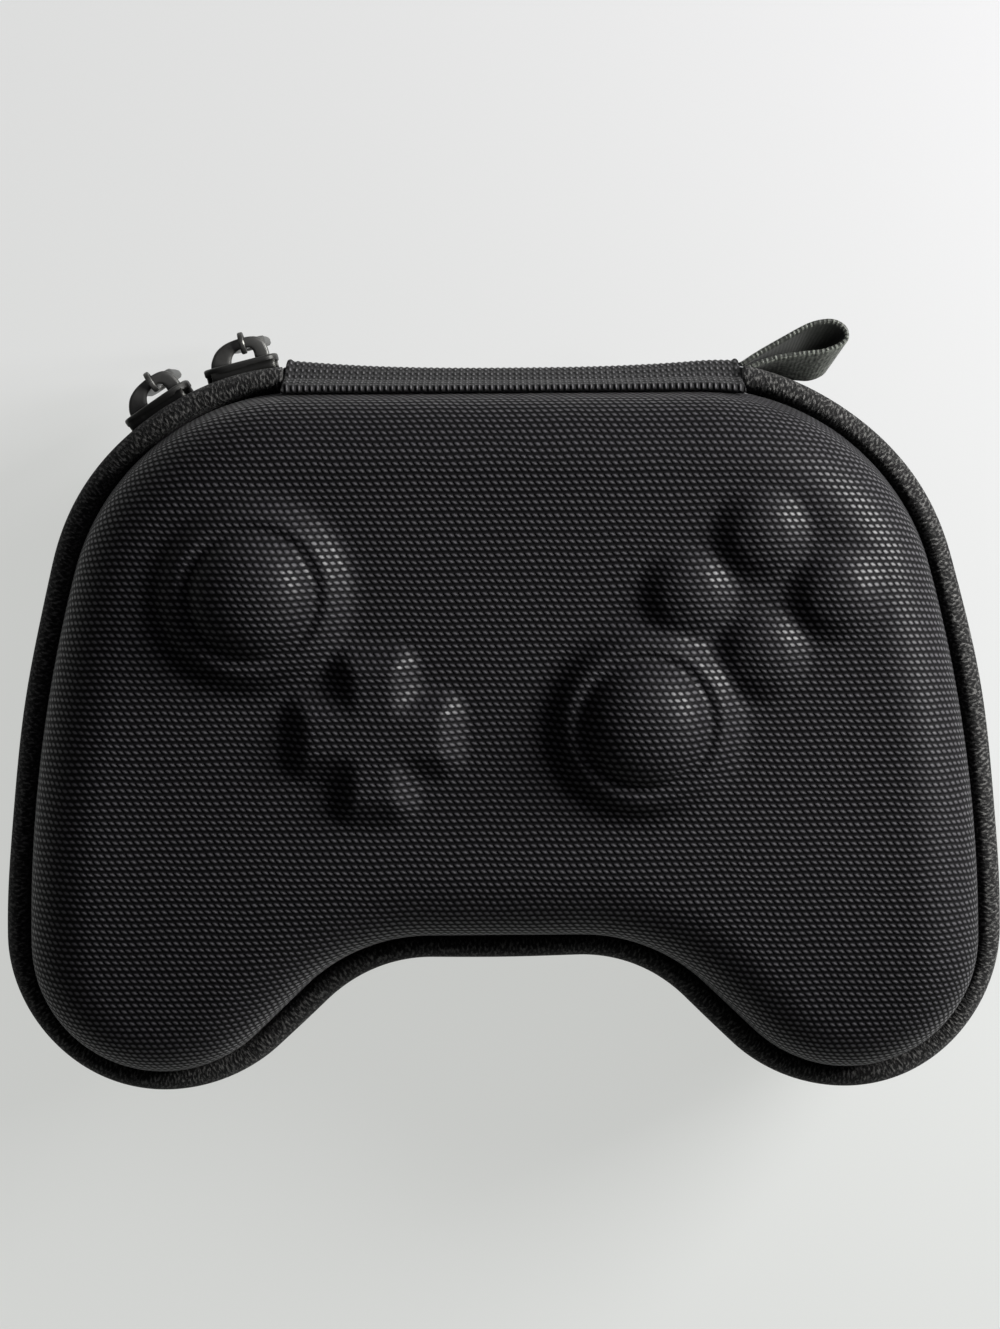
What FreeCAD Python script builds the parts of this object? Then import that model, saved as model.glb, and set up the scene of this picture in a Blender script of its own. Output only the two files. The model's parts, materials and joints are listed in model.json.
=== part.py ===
# Moulded carrying case for a game controller, closed, lying on its smooth lower half.
# Two foam shells of the same outline are joined at the rear by a strip of webbing and all
# round the rest of their rim by a two-way zip. The upper shell is moulded over the sticks,
# the direction pad and the four buttons of the controller that it holds.
# Millimetres. X to the right, Y to the hinge, Z up. The origin is the centre of the flat
# underside, which is also the middle of the outline's width and depth.

import FreeCAD
import Part
import math
import os

from FreeCAD import Vector

# Outline of the zip, seen from above
case_width = 170.0
case_depth = 124.2
corner_radius = 44.8
side_bulge = 7.2
side_radius = 246.0
grip_radius = 27.3
neck_slope = 44.0
notch_depth = 22.9
notch_radius = 26.0

# Heights above the table or away from the parting plane
tray_height = 30.0
lid_height = 28.0
rim_gap = 4.8
land_height = 11.0

# Foam shells
shell_inset = 4.6
wall = 4.0
draft = 10.0
shoulder_radius = 12.0
inner_shoulder_radius = 8.0
crown_start = -17.0
crown_radius = 130.0
seat_clearance = 0.2
opening_clearance = 0.3

# Zip: a coil on the parting plane, and a tape on each side of it, rolled over at its sewn edge
coil_height = 2.9
coil_depth = 2.4
coil_round = 0.6
tape_thickness = 1.0
tape_curl = 0.2
tape_neck_height = 4.6
tape_belly = 0.2
tape_belly_height = 6.1
tape_top = 9.7
tape_roll_width = 0.9
tape_roll_drop = 0.8
tape_groove = 0.7
tape_foot_height = 3.2
parted_length = 4.0
parted_width = 3.6

# Binding sewn round the inner edge of each rim
binding_thickness = 0.8
binding_height = 8.0
binding_bevel = 0.4

# Sliders on the rear left corner, parked beside the webbing's left end
slider_park_gap = 1.05
slider_apart = 2.5
slider_length = 12.8
slider_width = 8.8
slider_tail_width = 7.0
slider_plate = 1.4
slider_back_plate = 1.0
slider_front_clearance = 0.5
slider_back_clearance = 0.7
flange_drop = 1.1
wedge_length = 3.2
wedge_width = 2.4
nose_round = 1.0
bridge_length = 10.3
bridge_rise = 2.1
bridge_thickness = 1.8
bridge_width = 1.7
bridge_gradual = 5.7
bridge_steep = 2.7
bridge_foot = 3.6
bridge_leg = 2.5
bridge_corner = 0.9
bridge_round = 0.4

# Pulls that hang from the bridges
eye_place = 1.1
eye_clearance = 0.25
eye_wire = 0.8
eye_width = 1.1
pull_length = 24.0
pull_width = 7.4
pull_thickness = 1.5
pull_neck = 3.4
pull_round = 2.6
grip_slot_width = 3.0
grip_slot_length = 9.0

# Hinge webbing, its lining and the ribbon loop at its right end
webbing_past_left = 3.5
webbing_past_right = 7.7
webbing_thickness = 1.6
webbing_reach = 15.0
lining_width = 62.0
lining_reach = 15.0
lining_thickness = 0.7
loop_length = 18.2
loop_gap = 2.8
ribbon_thickness = 1.0
ribbon_width = 7.4
loop_top_turn = 15.5
loop_foot_turn = 1.0
loop_root_inset = 0.1

# Moulded controls: centre, then the sizes of each relief
left_stick = (-40.7, 24.5)
right_stick = (23.1, 3.2)
stick_radius = 13.1
stick_foot = 2.6
collar_height = 4.0
collar_width = 2.0
collar_groove = 0.8
stick_dome_height = 8.6
stick_dome_round = 3.2
pad_centre = (-21.1, 1.5)
pad_span = 27.4
pad_arm = 12.2
pad_height = 3.0
pad_corner = 2.6
pad_edge = 1.3
button_centre = (42.1, 24.0)
button_reach_x = 12.0
button_reach_y = 9.8
button_radius = 6.6
button_height = 2.8
button_edge = 1.7

# Worked out from the sizes above
hinge_flat = case_width - 2 * (corner_radius + side_bulge)
webbing_left = -hinge_flat / 2 - webbing_past_left
webbing_right = hinge_flat / 2 + webbing_past_right
right_slider_angle = math.degrees((webbing_past_left + slider_park_gap + slider_length / 2) / corner_radius)
slider_spacing = math.degrees((slider_length + slider_apart) / corner_radius)
left_slider_angle = right_slider_angle + slider_spacing
parting = tray_height
rear_edge = case_depth / 2
front_edge = -case_depth / 2
lid_top = parting + lid_height
land_inset = shell_inset + wall
hinge_line = Vector(0, rear_edge, parting)
corner_centre = (hinge_flat / 2, rear_edge - corner_radius)
grip_centre = (case_width / 2 - grip_radius, front_edge + grip_radius)
tape_bottom = coil_height + 0.1


def polar(centre, radius, angle, z):
    """The point at an angle on a circle round a centre, at height z."""
    x = centre[0] + radius * math.cos(angle)
    y = centre[1] + radius * math.sin(angle)
    return Vector(x, y, z)


def side_centre():
    """Centre of the long side arc, which is tangent inside to the corner and to the grip."""
    corner_reach = side_radius - corner_radius
    grip_reach = side_radius - grip_radius
    dx = grip_centre[0] - corner_centre[0]
    dy = grip_centre[1] - corner_centre[1]
    distance = math.hypot(dx, dy)
    along = (distance**2 + corner_reach**2 - grip_reach**2) / (2 * distance)
    aside = math.sqrt(corner_reach**2 - along**2)
    x = corner_centre[0] + (along * dx + aside * dy) / distance
    y = corner_centre[1] + (along * dy - aside * dx) / distance
    return (x, y)


def outline_arcs():
    """Centre, radius, start and end angle, and bend of the arcs of the outline's right half."""
    side = side_centre()
    corner_end = math.atan2(corner_centre[1] - side[1], corner_centre[0] - side[0])
    side_end = math.atan2(grip_centre[1] - side[1], grip_centre[0] - side[0])
    heading = math.radians(180 - neck_slope)
    grip_end = heading + math.pi / 2 - 2 * math.pi
    leave = polar(grip_centre, grip_radius, grip_end, 0)
    notch_line = front_edge + notch_depth
    meet = leave.x + (notch_line - leave.y) / math.tan(heading)
    tangent = notch_radius * math.tan(math.radians(neck_slope / 2))
    notch_centre = (meet - tangent, notch_line - notch_radius)
    return [
        (corner_centre, corner_radius, math.pi / 2, corner_end, 1),
        (side, side_radius, corner_end, side_end, 1),
        (grip_centre, grip_radius, side_end, grip_end, 1),
        (notch_centre, notch_radius, grip_end + math.pi, math.pi / 2, -1),
    ]


def mirrored(point):
    return Vector(-point.x, point.y, point.z)


def outline(inset, z):
    """Closed outline of tangent arcs, moved inward by inset, at height z."""
    arcs = []
    for centre, radius, start, end, bend in outline_arcs():
        near = radius - bend * inset
        angles = (start, (start + end) / 2, end)
        arcs.append([polar(centre, near, angle, z) for angle in angles])
    corner, side, grip, notch = arcs
    right = [Part.Arc(*corner), Part.Arc(*side), Part.Arc(*grip)]
    right.append(Part.LineSegment(grip[2], notch[0]))
    right.append(Part.Arc(*notch))
    left = [Part.Arc(*[mirrored(p) for p in reversed(notch)])]
    left.append(Part.LineSegment(mirrored(notch[0]), mirrored(grip[2])))
    for arc in (grip, side, corner):
        left.append(Part.Arc(*[mirrored(p) for p in reversed(arc)]))
    rear = Part.LineSegment(mirrored(corner[0]), corner[0])
    notch_flat = Part.LineSegment(notch[2], mirrored(notch[2]))
    edges = [rear] + right + [notch_flat] + left
    return Part.Wire([edge.toShape() for edge in edges])


def stack(levels):
    """Solid through outlines, each level an inset and a height above or below the parting."""
    wires = [outline(inset, parting + height) for inset, height in levels]
    return Part.makeLoft(wires, True, True)


def flipped(levels):
    """The same levels on the other side of the parting plane."""
    return [(inset, -height) for inset, height in levels]


# Foam shells

def crowned(body, top, drop):
    """Cuts a shell's flat top down along an arc that falls away to the front."""
    front = front_edge - wall
    turn = math.asin((crown_start - front) / (crown_radius - drop))
    radius = crown_radius - drop
    start = Vector(-case_width, crown_start, top)
    points = []
    for angle in (turn / 2, turn):
        y = crown_start - radius * math.sin(angle)
        points.append(Vector(-case_width, y, top - radius * (1 - math.cos(angle))))
    arc = Part.Arc(start, points[0], points[1])
    roof = top + crown_radius
    far = Vector(-case_width, front, roof)
    near = Vector(-case_width, crown_start, roof)
    edges = [arc.toShape()]
    edges.append(Part.LineSegment(points[1], far).toShape())
    edges.append(Part.LineSegment(far, near).toShape())
    edges.append(Part.LineSegment(near, start).toShape())
    waste = Part.Face(Part.Wire(edges)).extrude(Vector(2 * case_width, 0, 0))
    return body.cut(waste).removeSplitter()


def rim_edges(body, top, outward, crowned_top):
    """The edges round a shell's flat or crowned end, where its shoulder is rounded."""
    edges = []
    for face in body.Faces:
        u0, u1, v0, v1 = face.ParameterRange
        normal = face.normalAt((u0 + u1) / 2, (v0 + v1) / 2)
        far = abs(face.CenterOfMass.z - top) < shoulder_radius
        if normal.z * outward > 0.6 and far and face.BoundBox.XLength > hinge_flat / 3:
            edges.extend(face.Edges)
    if not crowned_top:
        return edges
    seam = [e for e in edges if e.BoundBox.YLength < 0.001]
    crease = [e for e in seam if abs(e.BoundBox.YMin - crown_start) < 0.001]
    return [e for e in edges if not any(e.isSame(c) for c in crease)]


def dish(inset, height, side, shoulder, drop):
    """Closed form of a half: upright land, drafted wall and a rounded shoulder."""
    gain = (height - land_height) * math.tan(math.radians(draft))
    levels = [(inset, rim_gap), (inset, land_height), (inset + gain, height)]
    if side < 0:
        levels = list(reversed(flipped(levels)))
    body = stack(levels)
    end = parting + side * height
    if side > 0:
        body = crowned(body, end, drop)
    return body.makeFillet(shoulder, rim_edges(body, end, side, side > 0))


def stick_relief():
    """Turned form of a stick: flared foot, collar, groove and a domed cap."""
    collar_in = stick_radius - collar_width
    groove_in = collar_in - collar_groove
    dome_edge = groove_in - stick_dome_round
    cap_rise = stick_dome_round * 0.25
    cap_edge = stick_dome_height - cap_rise
    cap_radius = (dome_edge**2 + cap_rise**2) / (2 * cap_rise)
    foot = Part.Arc(
        Vector(stick_radius + stick_foot, 0, 0),
        Vector(stick_radius + stick_foot * 0.3, 0, stick_foot * 0.3),
        Vector(stick_radius, 0, stick_foot),
    )
    collar = Part.Arc(
        Vector(stick_radius, 0, stick_foot),
        Vector(stick_radius - collar_width * 0.3, 0, collar_height - 0.2),
        Vector(collar_in, 0, collar_height - 0.1),
    )
    groove_floor = collar_height - collar_groove
    groove = Part.LineSegment(Vector(collar_in, 0, collar_height - 0.1), Vector(groove_in, 0, groove_floor))
    shoulder = Part.Arc(
        Vector(groove_in, 0, groove_floor),
        Vector(groove_in - stick_dome_round * 0.25, 0, stick_dome_height - stick_dome_round * 0.7),
        Vector(dome_edge, 0, cap_edge),
    )
    cap = Part.Arc(
        Vector(dome_edge, 0, cap_edge),
        Vector(dome_edge / 2, 0, cap_edge + cap_rise - cap_radius + math.sqrt(cap_radius**2 - dome_edge**2 / 4)),
        Vector(0, 0, stick_dome_height),
    )
    axis = Part.LineSegment(Vector(0, 0, stick_dome_height), Vector(0, 0, -wall / 2))
    sole = Part.LineSegment(Vector(0, 0, -wall / 2), Vector(stick_radius + stick_foot, 0, -wall / 2))
    side = Part.LineSegment(Vector(stick_radius + stick_foot, 0, -wall / 2), Vector(stick_radius + stick_foot, 0, 0))
    parts = (foot, collar, groove, shoulder, cap, axis, sole, side)
    profile = Part.Wire([edge.toShape() for edge in parts])
    return Part.Face(profile).revolve(Vector(0, 0, 0), Vector(0, 0, 1), 360)


def stick_hollow():
    """The hollow inside the lid behind a stick, a wall's thickness within its relief."""
    low = stick_radius - wall * 0.8
    high = low - stick_dome_round
    return Part.makeCone(low, high, stick_dome_height, Vector(0, 0, -wall), Vector(0, 0, 1))


def rounded_plus(span, arm, corner, z):
    """A plus with rounded outer corners, as one closed wire."""
    s = span / 2
    a = arm / 2
    turn = corner * (1 - math.sqrt(0.5))
    quarter = [
        Part.LineSegment(Vector(s, -(a - corner), z), Vector(s, a - corner, z)),
        Part.Arc(Vector(s, a - corner, z), Vector(s - turn, a - turn, z), Vector(s - corner, a, z)),
        Part.LineSegment(Vector(s - corner, a, z), Vector(a, a, z)),
        Part.LineSegment(Vector(a, a, z), Vector(a, s - corner, z)),
        Part.Arc(Vector(a, s - corner, z), Vector(a - turn, s - turn, z), Vector(a - corner, s, z)),
    ]
    edges = []
    for step in range(4):
        for edge in quarter:
            shape = edge.toShape()
            shape.rotate(Vector(0, 0, 0), Vector(0, 0, 1), 90 * step)
            edges.append(shape)
    return Part.Wire(edges)


def pad_relief():
    """The raised plus over the direction pad, with a bevelled upper edge."""
    lean = pad_height * math.tan(math.radians(draft))
    low = rounded_plus(pad_span + 2 * lean, pad_arm + 2 * lean, pad_corner, -wall / 2)
    mid = rounded_plus(pad_span, pad_arm, pad_corner, pad_height - pad_edge)
    top = rounded_plus(pad_span - 2 * pad_edge, pad_arm - 2 * pad_edge, pad_corner - pad_edge, pad_height)
    return Part.makeLoft([low, mid, top], True, True)


def button_relief():
    """A low round button with a rounded upper edge."""
    lean = button_height * math.tan(math.radians(draft))
    sole = -wall / 2
    body = Part.makeCone(button_radius + lean, button_radius - lean, button_height - sole, Vector(0, 0, sole))
    top = [e for e in body.Edges if abs(e.CenterOfMass.z - button_height) < 0.001]
    return body.makeFillet(button_edge, top)


def placed(shape, centre, z):
    copy = shape.copy()
    copy.translate(Vector(centre[0], centre[1], z))
    return copy


def button_centres():
    x, y = button_centre
    across = [(x - button_reach_x, y), (x + button_reach_x, y)]
    along = [(x, y - button_reach_y), (x, y + button_reach_y)]
    return across + along


def make_upper_shell():
    outer = dish(shell_inset, lid_height, 1, shoulder_radius, 0)
    reliefs = [placed(stick_relief(), left_stick, lid_top)]
    reliefs.append(placed(stick_relief(), right_stick, lid_top))
    reliefs.append(placed(pad_relief(), pad_centre, lid_top))
    for centre in button_centres():
        reliefs.append(placed(button_relief(), centre, lid_top))
    outer = outer.fuse(reliefs)
    inner = dish(land_inset, lid_height - wall, 1, inner_shoulder_radius, wall)
    hollows = [placed(stick_hollow(), left_stick, lid_top)]
    hollows.append(placed(stick_hollow(), right_stick, lid_top))
    return outer.cut(inner.fuse(hollows)).removeSplitter()


def make_lower_shell():
    outer = dish(shell_inset, tray_height, -1, shoulder_radius, 0)
    inner = dish(land_inset, tray_height - wall, -1, inner_shoulder_radius, 0)
    return outer.cut(inner)


# Zip tapes, coils and rim bindings

def ring(outer_levels, inner_levels, side):
    """Band that follows the outline: one stack with another cut out of it."""
    if side < 0:
        outer_levels = list(reversed(flipped(outer_levels)))
        inner_levels = list(reversed(flipped(inner_levels)))
    return stack(outer_levels).cut(stack(inner_levels))


def hinge_block(clearance):
    """The space of the webbing, where the zip stops."""
    low = Vector(webbing_left - clearance, corner_centre[1], 0)
    width = webbing_right - webbing_left + 2 * clearance
    return Part.makeBox(width, case_depth, 2 * lid_top, low)


def make_tape(side):
    """Zip tape that rises from the coil, swells out over it and rolls into a sewn groove."""
    seat = shell_inset - seat_clearance
    root = (coil_depth - tape_thickness) / 2
    roll = seat - tape_groove - tape_thickness
    foot = tape_top - tape_groove - tape_foot_height
    outer = [
        (root + tape_curl, tape_bottom),
        (root, tape_neck_height),
        (tape_belly, tape_belly_height),
        (tape_belly + tape_curl, tape_belly_height + tape_thickness),
        (roll - tape_roll_width, tape_top - tape_roll_drop),
        (roll, tape_top),
    ]
    inner = [
        (root + tape_curl + tape_thickness, tape_bottom),
        (root + tape_thickness, tape_neck_height),
        (seat, foot),
        (seat, foot + tape_foot_height - tape_groove),
        (seat - tape_groove, foot + tape_foot_height),
        (seat - tape_groove - tape_curl, tape_top),
    ]
    band = ring(outer, inner, side)
    return band.cut(hinge_block(opening_clearance))


def slider_spacing_length():
    """Distance between the middles of the two sliders at the coil."""
    return 2 * corner_radius * math.sin(math.radians(slider_spacing / 2))


def make_coil(side):
    """Half of the coil, parted between the sliders where their wedges hold it open."""
    low = opening_clearance / 2
    outer = [
        (coil_round, low),
        (0, low + coil_round),
        (0, coil_height - coil_round),
        (coil_round, coil_height),
    ]
    inner = [(coil_depth, low), (coil_depth, coil_height)]
    band = ring(outer, inner, side)
    return band.cut(hinge_block(opening_clearance)).cut(parted_gap())


def parted_gap():
    """The slot between the two sliders in which the halves of the coil stand apart."""
    half = (slider_spacing_length() + parted_length) / 2
    corner = Vector(-half, corner_radius - 2 * coil_depth, parting - parted_width / 2)
    slot = Part.makeBox(2 * half, 3 * coil_depth, parted_width, corner)
    slot.rotate(Vector(0, 0, 0), Vector(0, 0, 1), right_slider_angle + slider_spacing / 2)
    slot.translate(Vector(-corner_centre[0], corner_centre[1], 0))
    return slot


def make_binding(side):
    """Strip folded round the rim of a shell, from its edge up its inner wall."""
    start = rim_gap - seat_clearance - binding_thickness
    top = start + binding_height
    face = land_inset + seat_clearance
    back = face + binding_thickness
    bevel = binding_bevel
    foot = [(shell_inset + bevel, start), (shell_inset, start + bevel), (shell_inset, rim_gap - seat_clearance)]
    foot_hole = [(back - bevel, start), (back, start + bevel), (back, rim_gap - seat_clearance)]
    strip = [(face, rim_gap - seat_clearance), (face, top)]
    strip_hole = [(back, rim_gap - seat_clearance), (back, top)]
    band = ring(foot, foot_hole, side)
    return band.fuse(ring(strip, strip_hole, side)).removeSplitter()


# Hinge strips and ribbon loop

def extruded_strip(points, left, right):
    """Closed section of points (y, z) carried along X."""
    corners = [Vector(left, y, z) for y, z in points]
    corners.append(corners[0])
    face = Part.Face(Part.makePolygon(corners))
    return face.extrude(Vector(right - left, 0, 0))


def webbing_half(offset, reach):
    """One half of the webbing's line from its middle to the shell wall, offset outward."""
    seat = rear_edge - shell_inset + seat_clearance
    lean = (reach - land_height) * math.tan(math.radians(draft))
    out = rear_edge - webbing_thickness / 2
    span = out - seat
    return [
        (out + offset, 0.0),
        (out - span * 0.12 + offset, land_height * 0.2),
        (out - span * 0.5 + offset, land_height * 0.45),
        (seat + span * 0.1 + offset, land_height * 0.75),
        (seat + offset, land_height),
        (seat - lean + offset, reach),
    ]


def make_hinge_webbing():
    inner = webbing_half(0, webbing_reach)
    outer = webbing_half(webbing_thickness, webbing_reach)
    upper = [(y, parting + z) for y, z in inner]
    lower = [(y, parting - z) for y, z in reversed(inner[1:])]
    back_lower = [(y, parting - z) for y, z in outer]
    back_upper = [(y, parting + z) for y, z in reversed(outer[1:])]
    points = lower + upper + back_upper + [back_lower[0]] + back_lower[1:]
    return extruded_strip(points, webbing_left, webbing_right)


def make_hinge_lining():
    face = rear_edge - land_inset - 2 * seat_clearance - binding_thickness
    middle = (webbing_left + webbing_right) / 2
    points = [
        (face, parting - lining_reach),
        (face, parting + lining_reach),
        (face - lining_thickness, parting + lining_reach),
        (face - lining_thickness, parting - lining_reach),
    ]
    return extruded_strip(points, middle - lining_width / 2, middle + lining_width / 2)


def teardrop(half_gap, length, z):
    """Loop of ribbon seen from above: two strands from one point to a round end."""
    point = Vector(0, 0, z)
    turn = math.asin(half_gap / (length - half_gap))
    x = length - half_gap - half_gap * math.sin(turn)
    y = half_gap * math.cos(turn)
    edges = [
        Part.LineSegment(point, Vector(x, y, z)),
        Part.Arc(Vector(x, y, z), Vector(length, 0, z), Vector(x, -y, z)),
        Part.LineSegment(Vector(x, -y, z), point),
    ]
    return Part.Wire([edge.toShape() for edge in edges])


def make_ribbon_loop():
    """A short ribbon folded in two beside the webbing, which leans inward as it stands out."""
    outer = []
    inner = []
    for turn, z in ((loop_foot_turn, -ribbon_width / 2), (loop_top_turn, ribbon_width / 2)):
        outside = teardrop(loop_gap / 2 + ribbon_thickness, loop_length, z)
        inside = teardrop(loop_gap / 2, loop_length - 4 * ribbon_thickness, z)
        inside.translate(Vector(3 * ribbon_thickness, 0, 0))
        for wire, wires in ((outside, outer), (inside, inner)):
            wire.rotate(Vector(0, 0, z), Vector(0, 0, 1), turn)
            wires.append(wire)
    loop = Part.makeLoft(outer, True, True).cut(Part.makeLoft(inner, True, True))
    loop.translate(Vector(webbing_right + opening_clearance, rear_edge - loop_root_inset, parting))
    return loop


# Sliders and pulls, made on a straight zip and then set on the corner of the outline
# Along the zip is X, away from the case is Y, and the parting plane is Z = 0

def plate(front_half, tail_half, depth, y):
    """Shield-shaped plate, wide at the end where the coil parts and round at the tail."""
    half = slider_length / 2
    nose = half - front_half * 0.5
    points = [
        Vector(-half + nose_round, y, -tail_half),
        Vector(nose, y, -front_half),
        Vector(half, y, -front_half * 0.45),
        Vector(half, y, front_half * 0.45),
        Vector(nose, y, front_half),
        Vector(-half + nose_round, y, tail_half),
        Vector(-half, y, tail_half * 0.6),
        Vector(-half, y, -tail_half * 0.6),
    ]
    points.append(points[0])
    return Part.Face(Part.makePolygon(points)).extrude(Vector(0, depth, 0))


def quarter(centre_x, centre_y, radius, first, last, z):
    """Arc round a centre in the plane z, between two angles given in degrees."""
    angles = [math.radians(a) for a in (first, (first + last) / 2, last)]
    points = [Vector(centre_x + radius * math.cos(a), centre_y + radius * math.sin(a), z) for a in angles]
    return Part.Arc(*points)


def bridge_bar():
    """Arched bar over the outer plate: a wide foot that rises gradually, and a steep leg."""
    z = -bridge_width / 2
    y = slider_front_clearance + slider_plate
    sunk = y - slider_plate / 2
    under = y + bridge_rise
    top = under + bridge_thickness
    start = -bridge_length / 2
    end = bridge_length / 2
    hole_start = start + bridge_foot
    hole_end = end - bridge_leg
    crest = start + bridge_gradual
    sweep = (bridge_gradual**2 + (top - y) ** 2) / (2 * (top - y))
    lean = math.degrees(math.asin(bridge_gradual / sweep))
    outer = [
        Part.LineSegment(Vector(start, sunk, z), Vector(start, y, z)),
        quarter(crest, top - sweep, sweep, 90 + lean, 90, z),
        Part.LineSegment(Vector(crest, top, z), Vector(end - bridge_steep, top, z)),
        quarter(end - bridge_steep, top - bridge_steep, bridge_steep, 90, 0, z),
        Part.LineSegment(Vector(end, top - bridge_steep, z), Vector(end, sunk, z)),
    ]
    inner = [
        Part.LineSegment(Vector(end, sunk, z), Vector(hole_end, sunk, z)),
        Part.LineSegment(Vector(hole_end, sunk, z), Vector(hole_end, under - bridge_corner, z)),
        quarter(hole_end - bridge_corner, under - bridge_corner, bridge_corner, 0, 90, z),
        Part.LineSegment(Vector(hole_end - bridge_corner, under, z), Vector(hole_start + bridge_rise, under, z)),
        quarter(hole_start + bridge_rise, y, bridge_rise, 90, 180, z),
        Part.LineSegment(Vector(hole_start, y, z), Vector(hole_start, sunk, z)),
        Part.LineSegment(Vector(hole_start, sunk, z), Vector(start, sunk, z)),
    ]
    profile = Part.Wire([edge.toShape() for edge in outer + inner])
    bar = Part.Face(profile).extrude(Vector(0, 0, bridge_width))
    rims = [e for e in bar.Edges if e.BoundBox.ZLength < 0.001 and e.BoundBox.YMax > y + 0.001]
    return bar.makeFillet(bridge_round, rims)


def slider_body(front):
    """Slider in one casting: two plates, the wedge between them, flanges and the bridge."""
    wide = slider_width / 2
    tail = slider_tail_width / 2
    back = -coil_depth - slider_back_clearance - slider_back_plate
    face = plate(wide, tail, slider_plate, slider_front_clearance)
    rear = plate(wide, tail, slider_back_plate, back)
    nose = slider_length / 2
    wedge = [Vector(nose, 0, -wedge_width / 2), Vector(nose, 0, wedge_width / 2)]
    wedge += [Vector(nose - wedge_length, 0, wedge_width / 4), Vector(nose - wedge_length, 0, -wedge_width / 4)]
    wedge.append(wedge[0])
    gap = coil_depth + slider_back_clearance + slider_front_clearance
    post = Part.Face(Part.makePolygon(wedge)).extrude(Vector(0, gap + 0.4, 0))
    post.translate(Vector(-0.2, -coil_depth - slider_back_clearance - 0.2, 0))
    flanges = plate(wide, tail, flange_drop, slider_front_clearance - flange_drop)
    channel = Part.makeBox(2 * slider_length, 2 * flange_drop, slider_tail_width - 0.2)
    channel.translate(Vector(-slider_length, -flange_drop, -slider_tail_width / 2 + 0.1))
    flanges = flanges.cut(channel)
    casting = face.fuse([rear, post, flanges])
    if not front:
        casting.rotate(Vector(0, 0, 0), Vector(0, 1, 0), 180)
    return casting.fuse(bridge_bar()).removeSplitter()


def bridge_axis():
    """How far the middle of the bridge's bar stands from the coil's face."""
    return slider_front_clearance + slider_plate + bridge_rise + bridge_thickness / 2


def pull_body():
    """Hanging tab with an eye round the bridge and a slot to grip it by."""
    flat = math.hypot(bridge_thickness / 2 - bridge_round, bridge_width / 2 - bridge_round)
    hole = flat + bridge_round + eye_clearance
    rim = hole + eye_wire
    eye = Part.makeCylinder(rim, eye_width, Vector(-eye_width / 2, 0, 0), Vector(1, 0, 0))
    eye_hole = Part.makeCylinder(hole, 2 * eye_width, Vector(-eye_width, 0, 0), Vector(1, 0, 0))
    top = -(rim + pull_neck)
    foot = -pull_length
    half = pull_width / 2
    r = pull_round
    turn = r * (1 - math.sqrt(0.5))
    y = -pull_thickness / 2
    shoulder = eye_width / 2 + 0.4
    edges = [
        Part.LineSegment(Vector(-shoulder, y, -hole - 0.3), Vector(shoulder, y, -hole - 0.3)),
        Part.LineSegment(Vector(shoulder, y, -hole - 0.3), Vector(half, y, top)),
        Part.LineSegment(Vector(half, y, top), Vector(half, y, foot + r)),
        Part.Arc(Vector(half, y, foot + r), Vector(half - turn, y, foot + turn), Vector(half - r, y, foot)),
        Part.LineSegment(Vector(half - r, y, foot), Vector(-half + r, y, foot)),
        Part.Arc(Vector(-half + r, y, foot), Vector(-half + turn, y, foot + turn), Vector(-half, y, foot + r)),
        Part.LineSegment(Vector(-half, y, foot + r), Vector(-half, y, top)),
        Part.LineSegment(Vector(-half, y, top), Vector(-shoulder, y, -hole - 0.3)),
    ]
    tab = Part.Face(Part.Wire([edge.toShape() for edge in edges])).extrude(Vector(0, pull_thickness, 0))
    slot_low = Vector(-grip_slot_width / 2, -pull_thickness, foot + r)
    slot = Part.makeBox(grip_slot_width, 2 * pull_thickness, grip_slot_length, slot_low)
    slot_edges = [e for e in slot.Edges if e.BoundBox.YLength > pull_thickness]
    slot = slot.makeFillet(grip_slot_width * 0.45, slot_edges)
    return eye.fuse(tab).cut(eye_hole).cut(slot)


def on_corner(shape, angle, along, out):
    """Sets a piece of the straight zip on the rear left corner at an angle round it."""
    copy = shape.copy()
    copy.translate(Vector(along, corner_radius + out, parting))
    copy.rotate(Vector(0, 0, 0), Vector(0, 0, 1), angle)
    copy.translate(Vector(-corner_centre[0], corner_centre[1], 0))
    return copy


# Every piece, by the name of its file
pieces = {
    "upper_shell": make_upper_shell(),
    "lower_shell": make_lower_shell(),
    "upper_zip_tape": make_tape(1),
    "lower_zip_tape": make_tape(-1),
    "upper_zip_coil": make_coil(1),
    "lower_zip_coil": make_coil(-1),
    "upper_rim_binding": make_binding(1),
    "lower_rim_binding": make_binding(-1),
    "hinge_webbing": make_hinge_webbing(),
    "hinge_lining": make_hinge_lining(),
    "ribbon_loop": make_ribbon_loop(),
    "slider_right": on_corner(slider_body(False), right_slider_angle, 0, 0),
    "slider_left": on_corner(slider_body(True), left_slider_angle, 0, 0),
    "pull_right": on_corner(pull_body(), right_slider_angle, eye_place, bridge_axis()),
    "pull_left": on_corner(pull_body(), left_slider_angle, eye_place, bridge_axis()),
}

os.makedirs("parts", exist_ok=True)
for name, shape in pieces.items():
    box = shape.BoundBox
    print(name, "valid", shape.isValid(), "solids", len(shape.Solids), "volume", round(shape.Volume, 1))
    print("   from", round(box.XMin, 2), round(box.YMin, 2), round(box.ZMin, 2))
    print("   to  ", round(box.XMax, 2), round(box.YMax, 2), round(box.ZMax, 2))
    shape.exportStep("parts/" + name + ".step")
print("hinge line", hinge_line)
print("slider travel centre", -corner_centre[0], corner_centre[1], parting)
for angle in (right_slider_angle, left_slider_angle):
    pivot = on_corner(Part.Vertex(0, 0, 0), angle, eye_place, bridge_axis()).Point
    print("pull turns at", round(pivot.x, 4), round(pivot.y, 4), "beside the zip at", round(angle, 4), "degrees")
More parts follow.
